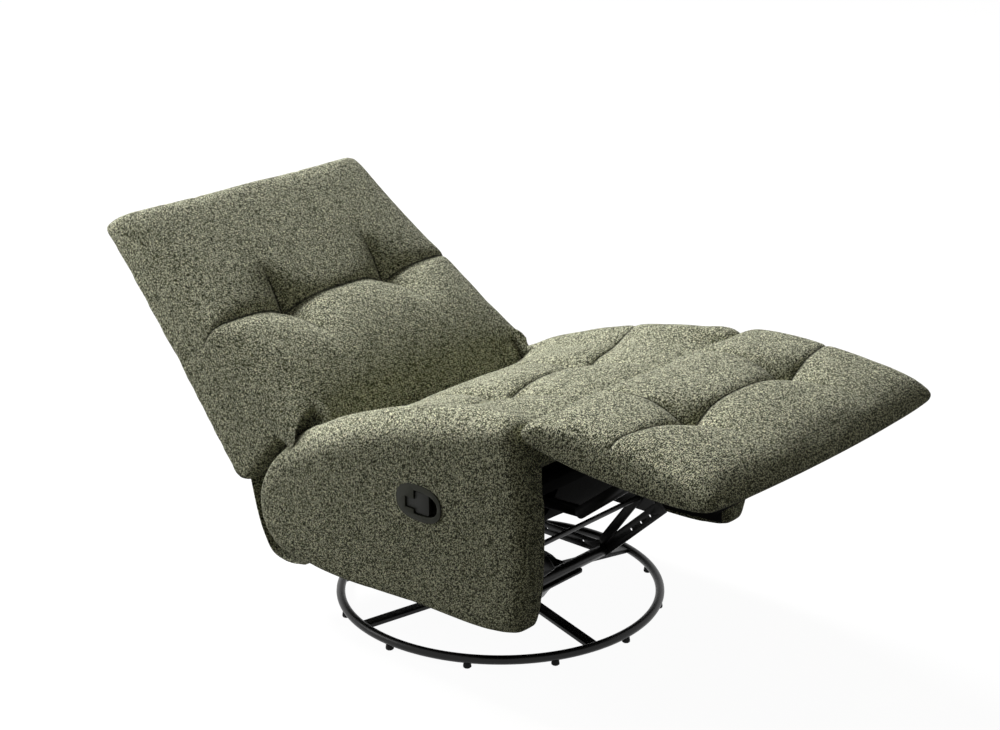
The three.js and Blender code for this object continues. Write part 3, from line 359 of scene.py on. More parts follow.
def in_range(add, value, seen, least=0.0, most=1.0, curve="LINEAR"):
    """A value over the range seen, moved to run from least to most."""
    inputs = {"Value": value, "From Min": seen[0], "From Max": seen[1], "To Min": least, "To Max": most}
    return add("ShaderNodeMapRange", inputs, interpolation_type=curve).outputs["Result"]


def mixed_color(add, share, first, second):
    """A colour between two. A Mix node takes colours at its inputs 6 and 7 and gives one at its output 2."""
    return add("ShaderNodeMix", {"Factor": share, 6: first, 7: second}, data_type="RGBA").outputs[2]


def noise_on(add, place, scale, detail, **more):
    return add("ShaderNodeTexNoise", {"Vector": place, "Scale": scale, "Detail": detail, **more})


def new_group(name, kind, inputs, outputs):
    """A node group with named sockets, a function that adds nodes to it, and its inputs."""
    group = bpy.data.node_groups.new(name, kind)
    for socket_name, socket_kind, value in inputs:
        socket = group.interface.new_socket(socket_name, in_out="INPUT", socket_type=socket_kind)
        socket.default_value = value
    for socket_name, socket_kind in outputs:
        group.interface.new_socket(socket_name, in_out="OUTPUT", socket_type=socket_kind)
    add = node_adder(group)
    return group, add, add("NodeGroupInput").outputs


def new_material(name):
    material = bpy.data.materials.new(name)
    material.use_nodes = True
    material.node_tree.nodes.clear()
    return material, node_adder(material.node_tree)


def finish_material(material, add, color, height, surface, strength, distance):
    """Gives the material its surface: a colour, a bump from a height, and plain values."""
    bump = add("ShaderNodeBump", {"Height": height, "Strength": strength, "Distance": distance})
    inputs = {"Base Color": color, "Normal": bump.outputs["Normal"], **surface}
    body = add("ShaderNodeBsdfPrincipled", inputs)
    add("ShaderNodeOutputMaterial", {"Surface": body.outputs["BSDF"]})
    return material


def boucle_group():
    """Looped yarn: mottled loops with light and dark flecks, their height, and fine fibres on top."""
    group, add, source = new_group(
        "boucle_yarn", "ShaderNodeTree",
        [("Loop Scale", "NodeSocketFloat", YARN["loop_scale"]), ("Column", "NodeSocketFloat", 0.0),
         ("Light", "NodeSocketColor", CLOTH_LIGHT), ("Middle", "NodeSocketColor", CLOTH_MIDDLE),
         ("Dark", "NodeSocketColor", CLOTH_DARK)],
        [("Color", "NodeSocketColor"), ("Height", "NodeSocketFloat")])
    place = add("ShaderNodeTexCoord").outputs["Object"]
    stray = noise_on(add, place, scale=320.0, detail=2.0)
    shift = add("ShaderNodeVectorMath", {0: stray.outputs["Color"], 1: (0.5, 0.5, 0.5)}, operation="SUBTRACT")
    drift = add("ShaderNodeVectorMath", {0: shift.outputs[0], "Scale": YARN["stray"]}, operation="SCALE")
    bent = add("ShaderNodeVectorMath", {0: place, 1: drift.outputs[0]}, operation="ADD").outputs[0]
    tones = []
    for turn, stretch in LOOP_LAYS:
        inputs = {"Vector": bent, "Rotation": turn, "Scale": stretch}
        laid = add("ShaderNodeMapping", inputs, vector_type="TEXTURE").outputs["Vector"]
        loops = add("ShaderNodeTexVoronoi", {"Vector": laid, "Scale": source["Loop Scale"]})
        tones.append(add("ShaderNodeSeparateColor", {"Color": loops.outputs["Color"]}).outputs["Red"])
    fibre = noise_on(add, place, scale=1100.0, detail=3.0, Roughness=0.7).outputs["Fac"]
    patch = noise_on(add, place, scale=60.0, detail=3.0, Roughness=0.6).outputs["Fac"]
    waver = noise_on(add, place, scale=90.0, detail=2.0).outputs["Fac"]
    phase = worked_out(add, "MULTIPLY", source["Column"], YARN["columns"])
    phase = worked_out(add, "MULTIPLY_ADD", waver, YARN["waver"], phase)
    columns = worked_out(add, "SINE", phase)

    def plus(value, share, rest):
        return worked_out(add, "MULTIPLY_ADD", value, share, rest)

    tone = plus(worked_out(add, "MAXIMUM", *tones), 1.0, YARN["tone"])
    tone = plus(fibre, YARN["fibre"], tone)
    tone = plus(patch, YARN["patch"], tone)
    tone = plus(columns, YARN["column"], tone)
    middle_share = in_range(add, tone, YARN["dark_to_middle"])
    light_share = in_range(add, tone, YARN["middle_to_light"])
    color = mixed_color(add, middle_share, source["Dark"], source["Middle"])
    color = mixed_color(add, light_share, color, source["Light"])
    height = plus(columns, YARN["column_height"], plus(fibre, YARN["fibre_height"], tone))
    add("NodeGroupOutput", {"Color": color, "Height": height})
    return group


def coat_group():
    """A coated or oiled surface: faint dust on its colour and roughness, and a fine orange-peel grain."""
    group, add, source = new_group(
        "dusty_coat", "ShaderNodeTree",
        [("Color", "NodeSocketColor", WHITE), ("Dust Color", "NodeSocketColor", DUST_SHADE),
         ("Roughness", "NodeSocketFloat", 0.4), ("Grain Scale", "NodeSocketFloat", 1100.0)],
        [("Color", "NodeSocketColor"), ("Roughness", "NodeSocketFloat"), ("Height", "NodeSocketFloat")])
    place = add("ShaderNodeTexCoord").outputs["Object"]
    peel = noise_on(add, place, scale=source["Grain Scale"], detail=2.0).outputs["Fac"]
    dust = noise_on(add, place, scale=14.0, detail=5.0, Roughness=0.65).outputs["Fac"]
    share = in_range(add, dust, DUST["seen"], 0.0, DUST["most"])
    least = worked_out(add, "SUBTRACT", source["Roughness"], DUST["smoother"])
    most = worked_out(add, "ADD", source["Roughness"], DUST["rougher"])
    add("NodeGroupOutput", {"Color": mixed_color(add, share, source["Color"], source["Dust Color"]),
                            "Roughness": in_range(add, dust, (0.0, 1.0), least, most), "Height": peel})
    return group


def moulded_group():
    """A moulded surface: broad lighter patches of wear, and the mould's fine grain."""
    group, add, source = new_group(
        "moulded_grain", "ShaderNodeTree",
        [("Color", "NodeSocketColor", WHITE), ("Worn Color", "NodeSocketColor", WHITE)],
        [("Color", "NodeSocketColor"), ("Height", "NodeSocketFloat")])
    place = add("ShaderNodeTexCoord").outputs["Object"]
    grain = noise_on(add, place, scale=2600.0, detail=2.0).outputs["Fac"]
    wear = noise_on(add, place, scale=60.0, detail=4.0).outputs["Fac"]
    color = mixed_color(add, in_range(add, wear, WEAR["seen"]), source["Color"], source["Worn Color"])
    add("NodeGroupOutput", {"Color": color, "Height": grain})
    return group


BOUCLE = boucle_group()
COAT = coat_group()
MOULDED = moulded_group()


def cloth_material(name, sewn):
    """Olive grey boucle. Sewn pieces carry an attribute with their distance to each seam and its strength,
    which sets a thin dark line of painted shade along the seam's groove.
    """
    material, add = new_material(name)
    yarn = add("ShaderNodeGroup", {"Light": CLOTH_LIGHT, "Middle": CLOTH_MIDDLE, "Dark": CLOTH_DARK},
               node_tree=BOUCLE)
    color = yarn.outputs["Color"]
    height = yarn.outputs["Height"]
    if sewn:
        # Each seam's groove gets a thin dark line of painted shade
        lines = []
        for seam_name in ("seam_long", "seam_cross"):
            seam = add("ShaderNodeAttribute", attribute_name=seam_name).outputs["Vector"]
            parts = add("ShaderNodeSeparateXYZ", {"Vector": seam}).outputs
            away = worked_out(add, "ABSOLUTE", parts["X"])
            line = in_range(add, away, PAINTED_SEAM_LINE["edge"], 1.0, 0.0, "SMOOTHSTEP")
            lines.append(worked_out(add, "MULTIPLY", line, parts["Y"]))
        feed(yarn, {"Column": parts["Z"]})
        line = worked_out(add, "MAXIMUM", *lines)
        color = mixed_color(add, worked_out(add, "MULTIPLY", line, PAINTED_SEAM_LINE["shade"]), color, PAINTED_SEAM_SHADE)
        height = worked_out(add, "MULTIPLY_ADD", line, PAINTED_SEAM_LINE["sink"], height)
        # The footrest cushion's underside gets painted shade, near black
        painted_shade_under = add("ShaderNodeAttribute", attribute_name="painted_shade_under").outputs["Fac"]
        color = mixed_color(add, painted_shade_under, color, UNDERSIDE_PAINTED_SHADE)
    surface = {"Roughness": 0.95, "Specular IOR Level": 0.15, "Sheen Weight": 0.12, "Sheen Roughness": 0.5}
    return finish_material(material, add, color, height, surface, strength=0.9, distance=0.0011)


def coated_metal(name, color, roughness, metallic):
    """Powder coat or oiled steel."""
    material, add = new_material(name)
    coat = add("ShaderNodeGroup", {"Color": (*color, 1.0), "Roughness": roughness}, node_tree=COAT).outputs
    surface = {"Roughness": coat["Roughness"], "Metallic": metallic, "Specular IOR Level": 0.28}
    return finish_material(material, add, coat["Color"], coat["Height"], surface,
                           strength=0.25, distance=0.0002)


def moulded_plastic(name, color, roughness):
    material, add = new_material(name)
    worn = tuple(WEAR["lighter"] * c for c in color)
    inputs = {"Color": (*color, 1.0), "Worn Color": (*worn, 1.0)}
    grain = add("ShaderNodeGroup", inputs, node_tree=MOULDED).outputs
    surface = {"Roughness": roughness, "Specular IOR Level": 0.22}
    return finish_material(material, add, grain["Color"], grain["Height"], surface,
                           strength=0.35, distance=0.0002)


def lining_cloth(name):
    """Thin black non-woven cloth, stapled to hidden faces."""
    material, add = new_material(name)
    place = add("ShaderNodeTexCoord").outputs["Object"]
    web = add("ShaderNodeTexVoronoi", {"Vector": place, "Scale": 700.0}).outputs["Distance"]
    folds = noise_on(add, place, scale=22.0, detail=3.0).outputs["Fac"]
    color = mixed_color(add, in_range(add, web, LINING_WEB["seen"]), LINING_WEB["dark"], LINING_WEB["light"])
    height = worked_out(add, "MULTIPLY_ADD", folds, LINING_WEB["fold"], web)
    surface = {"Roughness": 0.95, "Specular IOR Level": 0.1}
    return finish_material(material, add, color, height, surface, strength=0.5, distance=0.0006)


SEWN_CLOTH = cloth_material("sewn_boucle", sewn=True)
PLAIN_CLOTH = cloth_material("plain_boucle", sewn=False)
BLACK_METAL = coated_metal("black_powder_coat", (0.0055, 0.0055, 0.005), roughness=0.30, metallic=0.0)
DARK_STEEL = coated_metal("dark_steel", (0.055, 0.055, 0.055), roughness=0.38, metallic=1.0)
RUBBER = moulded_plastic("glide_rubber", (0.010, 0.010, 0.010), roughness=0.75)
HANDLE_PLASTIC = moulded_plastic("handle_plastic", (0.017, 0.018, 0.0105), roughness=0.55)
PADDLE_PLASTIC = moulded_plastic("paddle_plastic", (0.009, 0.0095, 0.007), roughness=0.5)
LINING_CLOTH = lining_cloth("lining_cloth")


# Cloth forms

def seat_top(y):
    """The seat's top line, steep at the rear and level at the front."""
    share = np.clip((SEAT["rear_y"] - y) / (SEAT["rear_y"] - SEAT["front_y"]), 0.0, 1.0)
    return SEAT["rear_z"] + SEAT["rise"] * (1.0 - (1.0 - share) ** SEAT["curve"])


def deck_top(y):
    share = (SEAT["deck_rear_y"] - y) / (SEAT["deck_rear_y"] - SEAT["deck_front_y"])
    return SEAT["deck_rear_z"] + SEAT["deck_rise"] * share + SEAT["deck_thickness"]


def walked_along(points):
    """How far along a line each of its points lies."""
    return np.concatenate([[0.0], np.cumsum(np.linalg.norm(np.diff(points, axis=0), axis=1))])


def bent_stretch(t, run, start, start_slope, end, end_slope):
    """A smooth curve's points at shares t of a stretch, from its length, its ends and its slopes there."""
    return ((2 * t ** 3 - 3 * t ** 2 + 1) * start + (t ** 3 - 2 * t ** 2 + t) * run * start_slope
            + (3 * t ** 2 - 2 * t ** 3) * end + (t ** 3 - t ** 2) * run * end_slope)


def smooth_loop(points, count):
    """A closed smooth curve through unevenly spaced points, sampled evenly."""
    loop = np.array(points, float)
    after = np.roll(loop, -1, 0)
    run = np.linalg.norm(after - loop, axis=1)[:, None]
    slope = (after - loop) / run
    run_before, slope_before = np.roll(run, 1, 0), np.roll(slope, 1, 0)
    tangent = (slope * run_before + slope_before * run) / (run + run_before)
    tangent_after = np.roll(tangent, -1, 0)
    shares = np.linspace(0.0, 1.0, STRETCH_STEPS, endpoint=False)
    dense = [bent_stretch(t, run, loop, tangent, after, tangent_after) for t in shares]
    dense = np.stack(dense, 1).reshape(-1, loop.shape[1])
    closed = np.vstack([dense, dense[:1]])
    walked = walked_along(closed)
    at = np.linspace(0.0, walked[-1], count, endpoint=False)
    return np.stack([np.interp(at, walked, closed[:, k]) for k in range(loop.shape[1])], 1)


def smooth_route(points, count):
    """An open smooth curve through the points, sampled evenly."""
    route = np.array(points, float)
    walked = walked_along(route)
    slope = np.gradient(route, walked, axis=0)
    at = np.linspace(0.0, walked[-1], count)
    k = np.clip(np.searchsorted(walked, at, side="right") - 1, 0, len(route) - 2)
    run = (walked[k + 1] - walked[k])[:, None]
    t = (at - walked[k])[:, None] / run
    return bent_stretch(t, run, route[k], slope[k], route[k + 1], slope[k + 1])


def loft_faces(rings, count):
    """The faces between rings of count points each, and a flat face at either end."""
    faces = []
    for k in range(rings - 1):
        for i in range(count):
            j = (i + 1) % count
            faces.append((k * count + i, k * count + j, (k + 1) * count + j, (k + 1) * count + i))
    faces.append(tuple(range(count)))
    faces.append(tuple((rings - 1) * count + i for i in range(count)))
    return faces


def panel_outline(count=PANEL_STEPS["outline"]):
    """The side panel's outline in (y, z), from the toe along the foot, up the rear edge and over the top."""
    p = PANEL
    points = []
    for turn in np.linspace(math.pi, 1.5 * math.pi, PANEL_STEPS["toe"]):
        points.append((p["front_y"] + p["toe"] * (1 + math.cos(turn)),
                       p["foot_front_z"] + p["toe"] * (1 + math.sin(turn))))
    points.append((mix(p["front_y"], p["foot_rear_y"], 0.5), p["foot_mid_z"]))
    points.append((p["foot_rear_y"], p["foot_rear_z"]))
    points.append((p["heel_y"], p["heel_z"]))
    points.append((mix(p["heel_y"], p["rear_y"], HEEL_BULGE_SHARES[0]),
                   mix(p["heel_z"], p["rear_z"], HEEL_BULGE_SHARES[1])))
    points.append((p["rear_y"], p["rear_z"]))
    for y_share, z_share in REAR_EDGE_SHARES:
        points.append((mix(p["rear_y"], SEAT["rear_y"], y_share), mix(p["rear_z"], SEAT["rear_z"], z_share)))
    nose_y = p["front_y"] + p["nose_run"]
    for y in np.linspace(SEAT["rear_y"], nose_y, PANEL_STEPS["top"]):
        points.append((y, float(seat_top(y))))
    for turn in np.linspace(0.0, math.pi / 2, PANEL_STEPS["nose"])[1:]:
        points.append((nose_y - p["nose_run"] * math.sin(turn),
                       float(seat_top(nose_y)) - p["nose_drop"] * (1 - math.cos(turn))))
    return smooth_loop(points, count)


def inward_of(outline):
    run = np.roll(outline, -1, 0) - np.roll(outline, 1, 0)
    run /= np.linalg.norm(run, axis=1)[:, None]
    return np.stack([-run[:, 1], run[:, 0]], 1)


def panel_rounding(outline):
    """How widely the panel's outer edge is rounded at each point of its outline: most over the shoulder."""
    p = PANEL
    mid_z = (p["foot_rear_z"] + SEAT["rear_z"] + SEAT["rise"]) / 2
    behind = np.clip((outline[:, 0] - p["front_y"]) / (2 * p["shoulder"]), 0.0, 1.0)
    top_share = smooth_step(mid_z - p["edge_change"], mid_z + p["edge_change"], outline[:, 1])
    edge = mix(p["front_edge"], p["edge"], np.clip((outline[:, 0] - p["front_y"]) / p["shoulder"], 0.0, 1.0))
    return mix(edge, mix(edge, p["shoulder"], behind), top_share), top_share


def panel_body(side):
    """A padded side panel, lofted from its inner face outwards. side is 1 on the left, -1 on the right."""
    p = PANEL
    outline = panel_outline()
    inward = inward_of(outline)
    rounding, top_share = panel_rounding(outline)
    thickness = SEAT["half_width"] - SEAT["inner"]
    rings = [(np.full(len(outline), -p["tuck_in"]), p["inner_edge"] * (1 - top_share)),
             (np.full(len(outline), p["inner_edge"]), np.zeros(len(outline)))]
    for turn in np.linspace(0.0, math.pi / 2, PANEL_STEPS["edge"]):
        rings.append((thickness - rounding * (1 - math.sin(turn)),
                      rounding * (1 - math.cos(turn)) * p["edge_share"]))
    verts = []
    for x, inset in rings:
        at = outline + inward * inset[:, None]
        verts.append(np.stack([side * (SEAT["inner"] + x), at[:, 0], at[:, 1]], 1))
    return np.vstack(verts), loft_faces(len(rings), len(outline))


def blunt(t, power):
    return np.clip(1 - np.abs(t) ** power, 0.0, 1.0) ** (1 / power)


def pad_grid(across, along, top_at, bottom_at):
    """A closed pad from two surfaces that share their rim. a and b run from -1 to 1."""
    a_line = np.sin(np.pi / 2 * np.linspace(-1, 1, across + 1))
    b_line = np.sin(np.pi / 2 * np.linspace(-1, 1, along + 1))
    a, b = np.meshgrid(a_line, b_line)
    top = np.stack(top_at(a.ravel(), b.ravel()), 1)
    low = np.stack(bottom_at(a.ravel(), b.ravel()), 1)
    row = across + 1
    rim = np.zeros((along + 1, row), bool)
    rim[0] = rim[-1] = rim[:, 0] = rim[:, -1] = True
    low_id = np.where(rim.ravel(), np.arange(len(top)), 0)
    inner = np.flatnonzero(~rim.ravel())
    low_id[inner] = len(top) + np.arange(len(inner))
    faces = []
    for j in range(along):
        for i in range(across):
            p = j * row + i
            corners = (p, p + 1, p + row + 1, p + row)
            faces.append(corners)
            faces.append(tuple(low_id[k] for k in reversed(corners)))
    return np.vstack([top, low[inner]]), faces


def seat_body():
    """The seat's filling between and just over the panels' inner faces, without its tufts."""
    half = SEAT["inner"] + SEAT["over_panels"]
    side_power, end_power = SEAT["side_power"], SEAT["end_power"]

    def y_at(b):
        return mix(SEAT["tuck_y"], SEAT["front_y"], (b + 1) / 2)

    def rim_z(b):
        return mix(deck_top(y_at(b)), seat_top(y_at(b)), 0.5)

    def top_at(a, b):
        full = seat_top(y_at(b)) + SEAT["crown"] * (1 - a * a) - rim_z(b)
        return a * half, y_at(b), rim_z(b) + full * blunt(a, side_power) * blunt(b, end_power)

    def bottom_at(a, b):
        full = rim_z(b) - deck_top(y_at(b)) - SEAT["above_deck"]
        return a * half, y_at(b), rim_z(b) - full * blunt(a, side_power) * blunt(b, end_power)

    return pad_grid(*PAD_STEPS["seat"], top_at, bottom_at)


BACK_LOW = np.array(BACK["low"])
BACK_RUN = np.array(BACK["high"]) - BACK_LOW
BACK_LENGTH = float(np.linalg.norm(BACK_RUN))
BACK_ALONG = BACK_RUN / BACK_LENGTH
BACK_OUT = np.array([-BACK_ALONG[1], BACK_ALONG[0]])
BACK_ROUND = BACK["pad_low"] / 2
HINGE = BACK_LOW - BACK_OUT * BACK_ROUND


def on_back(along, out):
    """(y, z) of a point given along the back's front face and out from it."""
    return (BACK_LOW[0] + along * BACK_ALONG[0] + out * BACK_OUT[0],
            BACK_LOW[1] + along * BACK_ALONG[1] + out * BACK_OUT[1])


def back_place(points):
    """The inverse: across, along and out of points in the row frame."""
    rel = points[:, 1:] - BACK_LOW
    return points[:, 0], rel @ BACK_ALONG, rel @ BACK_OUT


def pad_thickness(along):
    return mix(BACK["pad_low"], BACK["pad_high"], along / BACK_LENGTH)


def back_pad_body():
    """The back's padding, with its round lower end about the hinge, without its tufts."""
    full = BACK_LENGTH + BACK_ROUND

    def start(b):
        return (b + 1) / 2 * full

    def rise(distance, radius):
        left = np.clip(1 - distance / radius, 0.0, 1.0)
        return np.sqrt(1 - left * left)

    def along_at(a, b):
        return start(b) - BACK_ROUND - BACK["top_drawn_in"] * (1 - a * a) * (start(b) / full) ** 3

    def half(b):
        return BACK["half_width"] - BACK["drawn_in"] * (1 - b * b)

    def open_at(a, b):
        low_rise, top_rise = rise(start(b), BACK_ROUND), rise(full - start(b), BACK["top_round"])
        return blunt(a, BACK["side_power"]) * low_rise * top_rise

    def rim(b):
        along = start(b) - BACK_ROUND
        share = mix(RIM_LOW_SHARE, RIM_HIGH_SHARE, np.clip(along / BACK_LENGTH, 0, 1))
        return -pad_thickness(along) * share

    def arc(along, first, last):
        return np.sin(np.pi * np.clip((along - first) / (last - first), 0, 1)) ** BACK["swell_power"]

    def top_at(a, b):
        along = along_at(a, b)
        low_arc = arc(along, BACK["swell_from"], BACK_TUFTS["along"])
        high_arc = arc(along, BACK_TUFTS["along"], BACK_LENGTH)
        swell = (BACK["low_swell"] * low_arc + BACK["high_swell"] * high_arc) * (1 - a ** 4)
        y, z = on_back(along, rim(b) * (1 - open_at(a, b)) + swell)
        return a * half(b), y, z

    def bottom_at(a, b):
        along = along_at(a, b)
        y, z = on_back(along, mix(rim(b), -pad_thickness(along), open_at(a, b)))
        return a * half(b), y, z

    return pad_grid(*PAD_STEPS["back"], top_at, bottom_at)


def back_shell_body():
    """The wedge behind the pad, with eased edges."""
    def under(along):
        return on_back(along, -pad_thickness(along) + BACK["shell_in_pad"])

    low_end = BACK["shell_low"] + BACK["shell_heel"]
    heel = on_back(BACK["shell_low"], BACK["shell_heel"] - BACK["shell_deep"])
    section = [under(BACK["shell_start"]), heel]
    for share in np.linspace(0.0, 1.0, SHELL_STEPS["rear"]):
        along = mix(low_end, BACK_LENGTH - BACK["shell_short"], share)
        hollow = BACK["shell_hollow"] * math.sin(math.pi * share)
        depth = mix(BACK["shell_deep"], BACK["pad_high"], share) - hollow
        section.append(on_back(along, -depth))
    section.append(under(BACK_LENGTH - BACK["top_round"]))
    section = np.array(section)
    toward = section.mean(0) - section
    toward /= np.linalg.norm(toward, axis=1)[:, None]
    rings = []
    for turn in np.linspace(0.0, math.pi / 2, SHELL_STEPS["edge"]):
        rings.append((-BACK["shell_half"] + BACK["shell_edge"] * (1 - math.sin(turn)),
                      BACK["shell_edge"] * (1 - math.cos(turn))))
    rings = rings[::-1]
    rings = rings + [(-x, inset) for x, inset in reversed(rings)]
    verts = [np.column_stack([np.full(len(section), x), section + toward * inset]) for x, inset in rings]
    return np.vstack(verts), loft_faces(len(rings), len(section))


def foot_body():
    """The footrest's cushion, without its tufts."""
    def y_at(a, b):
        bow = FOOT["front_bow"] * a * a * ((b + 1) / 2) ** 3
        return mix(FOOT["rear_y"], FOOT["front_y"], (b + 1) / 2) + bow

    def mid_z(b):
        return mix(FOOT["rear_z"], FOOT["front_z"], (b + 1) / 2)

    def half(b):
        return FOOT["half_width"] - FOOT["drawn_in"] * (1 - b * b)

    def open_at(a, b):
        return blunt(a, FOOT["side_power"]) * blunt(b, FOOT["end_power"])

    def top_at(a, b):
        rise = (FOOT["crown"] + FOOT["pillow"] * (1 - a * a)) * open_at(a, b)
        return a * half(b), y_at(a, b), mid_z(b) + rise

    def bottom_at(a, b):
        z = mid_z(b) - FOOT["belly"] * open_at(a, b)
        return a * half(b), y_at(a, b), np.maximum(z, FOOT["board_top"])

    return pad_grid(*PAD_STEPS["foot"], top_at, bottom_at)


def seam_distances(across, along, tufts):
    """How far points lie from the nearest lengthwise seam and from the cross seam, which bows at its ends."""
    to_long = np.abs(across) - tufts["across"]
    aside = np.clip(to_long / (tufts["edge"] - tufts["across"]), 0.0, 1.0)
    bow = tufts["bow"] * aside ** CREASE["bow_power"]
    return to_long, along - tufts["along"] - bow


def tuft_relief(to_long, to_cross, tufts):
    """How far the cover is drawn in: creases along the seams, deep and wide at the tufts."""
    up = tufts["up"] * np.exp(-(np.abs(to_cross) / tufts["up_fade"]) ** 2)
    down = tufts["down"] * np.exp(-(np.abs(to_cross) / tufts["down_fade"]) ** 2)

    def crease(beside, onward, base, reach):
        near = np.exp(-(np.abs(onward) / reach) ** CREASE["fade_power"])
        depth = mix(base, tufts["depth"], near)
        width = mix(tufts["narrow"], tufts["wide"], near)
        return depth * np.exp(-(np.abs(beside) / width) ** CREASE["flank_power"])

    length_wise = crease(to_long, to_cross, np.where(to_cross > 0, up, down), tufts["run"])
    gentle = np.where(to_cross < 0, to_cross / CREASE["gentle_side"], to_cross)
    seam = tufts["seam"] * (1 - smooth_step(tufts["fade_from"], tufts["edge"], to_long + tufts["across"]))
    cross_wise = crease(gentle, to_long, seam, tufts["reach"])
    power = CREASE["meet_power"]
    return (length_wise ** power + cross_wise ** power) ** (1 / power)


def crease_hold(to_long, to_cross, tufts):
    """How firmly the simulation holds a point: on the cross seam, and on lengthwise seams near the tufts."""
    aside = smooth_step(tufts["fade_from"], tufts["edge"], to_long + tufts["across"])
    on_cross = (np.abs(to_cross) < HOLD["crease"]) * (1 - aside)
    far = np.hypot(to_long, to_cross)
    near = 1 - smooth_step(HOLD["tuft"] * HOLD["full_share"], HOLD["tuft"], far)
    fade_from, fade_to = (HOLD["tuft"] * share for share in HOLD["long_shares"])
    on_long = (np.abs(to_long) < HOLD["crease"]) * (1 - smooth_step(fade_from, fade_to, far))
    return np.maximum(np.maximum(HOLD["cross"] * on_cross, on_long), near)


def joined(name, bodies):
    """One piece from several closed bodies, made one skin by a voxel remesh and eased."""
    verts, faces, start = [], [], 0
    for body_verts, body_faces in bodies:
        verts.append(body_verts)
        faces += [tuple(i + start for i in face) for face in body_faces]
        start += len(body_verts)
    piece = new_piece(name, np.vstack(verts), faces)
    with_bmesh(piece, face_outwards)
    remesh = piece.modifiers.new("skin", "REMESH")
    remesh.mode = "VOXEL"
    remesh.voxel_size = VOXEL
    ease = piece.modifiers.new("ease", "SMOOTH")
    ease.factor = 0.5
    ease.iterations = 12
    return settled(piece)


def eased(piece, shift, free):
    """Evens out a move of the piece's points over their neighbours. free is 0 where a point stays put."""
    edges = np.zeros(len(piece.data.edges) * 2, int)
    piece.data.edges.foreach_get("vertices", edges)
    first, second = edges.reshape(-1, 2).T
    count = len(shift)
    links = np.bincount(first, minlength=count) + np.bincount(second, minlength=count)
    grip = (np.clip(free, 0, 1) ** SIM_GRIP)[:, None]

    def of_neighbours(values):
        return np.bincount(first, values[second], count) + np.bincount(second, values[first], count)

    for _ in range(SIM_EASE):
        total = np.stack([of_neighbours(shift[:, k]) for k in range(3)], 1)
        shift = mix(shift, total / np.maximum(links, 1)[:, None], 0.5) * grip
    return shift


def inflate(piece, held):
    """Blows the cover up with a cloth simulation. held is each point's hold; no point moves past SIM_CAP."""
    rest = points_of(piece)
    group = piece.vertex_groups.new(name="held")
    levels = np.round(held * HOLD["levels"]).astype(int)
    for level in range(1, HOLD["levels"] + 1):
        members = np.flatnonzero(levels == level)
        if len(members):
            group.add([int(i) for i in members], level / HOLD["levels"], "REPLACE")
    cloth = piece.modifiers.new("inflate", "CLOTH")
    settings = cloth.settings
    settings.quality = 3
    settings.mass = 0.3
    settings.use_pressure = True
    settings.uniform_pressure_force = SIM_PRESSURE
    settings.vertex_group_mass = "held"
    settings.effector_weights.gravity = 0.0
    settings.shrink_min = -SIM_GROW
    cloth.collision_settings.use_collision = False
    cloth.point_cache.frame_start = 1
    cloth.point_cache.frame_end = SIM_FRAMES
    scene = bpy.context.scene
    for step in range(1, SIM_FRAMES + 1):
        scene.frame_set(step)
    blown = piece.evaluated_get(bpy.context.evaluated_depsgraph_get())
    moved = np.zeros(len(rest) * 3)
    blown.data.vertices.foreach_get("co", moved)
    shift = moved.reshape(-1, 3) - rest
    size = np.linalg.norm(shift, axis=1)
    shift *= (np.minimum(size, SIM_CAP) / np.maximum(size, TINY))[:, None]
    shift = eased(piece, shift, 1 - held)
    piece.modifiers.clear()
    piece.vertex_groups.clear()
    scene.frame_set(1)
    move_points(piece, rest + shift)


def subdivided(piece):
    finer = piece.modifiers.new("finer", "SUBSURF")
    finer.levels = finer.render_levels = 1
    return settled(piece)


def mark_seams(piece, to_long, to_cross, top, column, ends):
    """Each point's distance to the two kinds of seam, how strongly that seam's line of painted shade shows,
    and the weave's column.
    """
    near_tuft = 1 - smooth_step(*SEAM_FADE, np.abs(to_cross))
    rows = {"seam_long": (to_long, top * np.maximum(near_tuft, ends), column),
            "seam_cross": (to_cross, top, column)}
    groove = np.zeros(len(to_long))
    for name, row in rows.items():
        layer = piece.data.attributes.new(name, "FLOAT_VECTOR", "POINT")
        layer.data.foreach_set("vector", np.column_stack(row).astype(np.float32).ravel())
        line = np.exp(-(np.abs(row[0]) / STITCH["half_width"]) ** STITCH["power"]) * row[1]
        groove = np.maximum(groove, line)
    sink_along_normals(piece, STITCH["depth"] * groove)


def sink_along_normals(piece, depth):
    move_points(piece, points_of(piece) - normals_of(piece) * depth[:, None])


def on_handle(points, grow=0.0):
    """How far out each point lies on the handle's oval: 1 on the cup's rim, and far off on other faces."""
    half_length, half_height = (size + grow for size in HANDLE["cup"])
    along = np.abs(points[:, 1] - HANDLE["y"]) / half_length
    up = np.abs(points[:, 2] - HANDLE["z"]) / half_height
    away = (along ** HANDLE["power"] + up ** HANDLE["power"]) ** (1 / HANDLE["power"])
    return np.where(points[:, 0] < -(SEAT["half_width"] + SEAT["inner"]) / 2, away, FAR_OFF)


def sink_pocket(piece):
    """Makes room for the handle's cup, under its flange."""
    points = points_of(piece)
    near = on_handle(points) < POCKET["flat_to"]
    points[near, 0] = np.maximum(points[near, 0], -SEAT["half_width"])
    inside = on_handle(points, POCKET["edge"]) < 1
    points[inside, 0] = HANDLE["depth"] - SEAT["half_width"]
    move_points(piece, points)


def hinge_spots(points):
    """Each point's distance from the back's hinge line, and its band across and its step round the hinge."""
    away = points[:, 1:] - HINGE
    radius = np.linalg.norm(away, axis=1)
    band = (np.abs(points[:, 0]) / SEAT["inner"] * ROOM["bands"]).astype(int)
    step = np.arctan2(away[:, 1], away[:, 0]) / (2 * math.pi) * ROOM["steps"]
    return away, radius, band, step


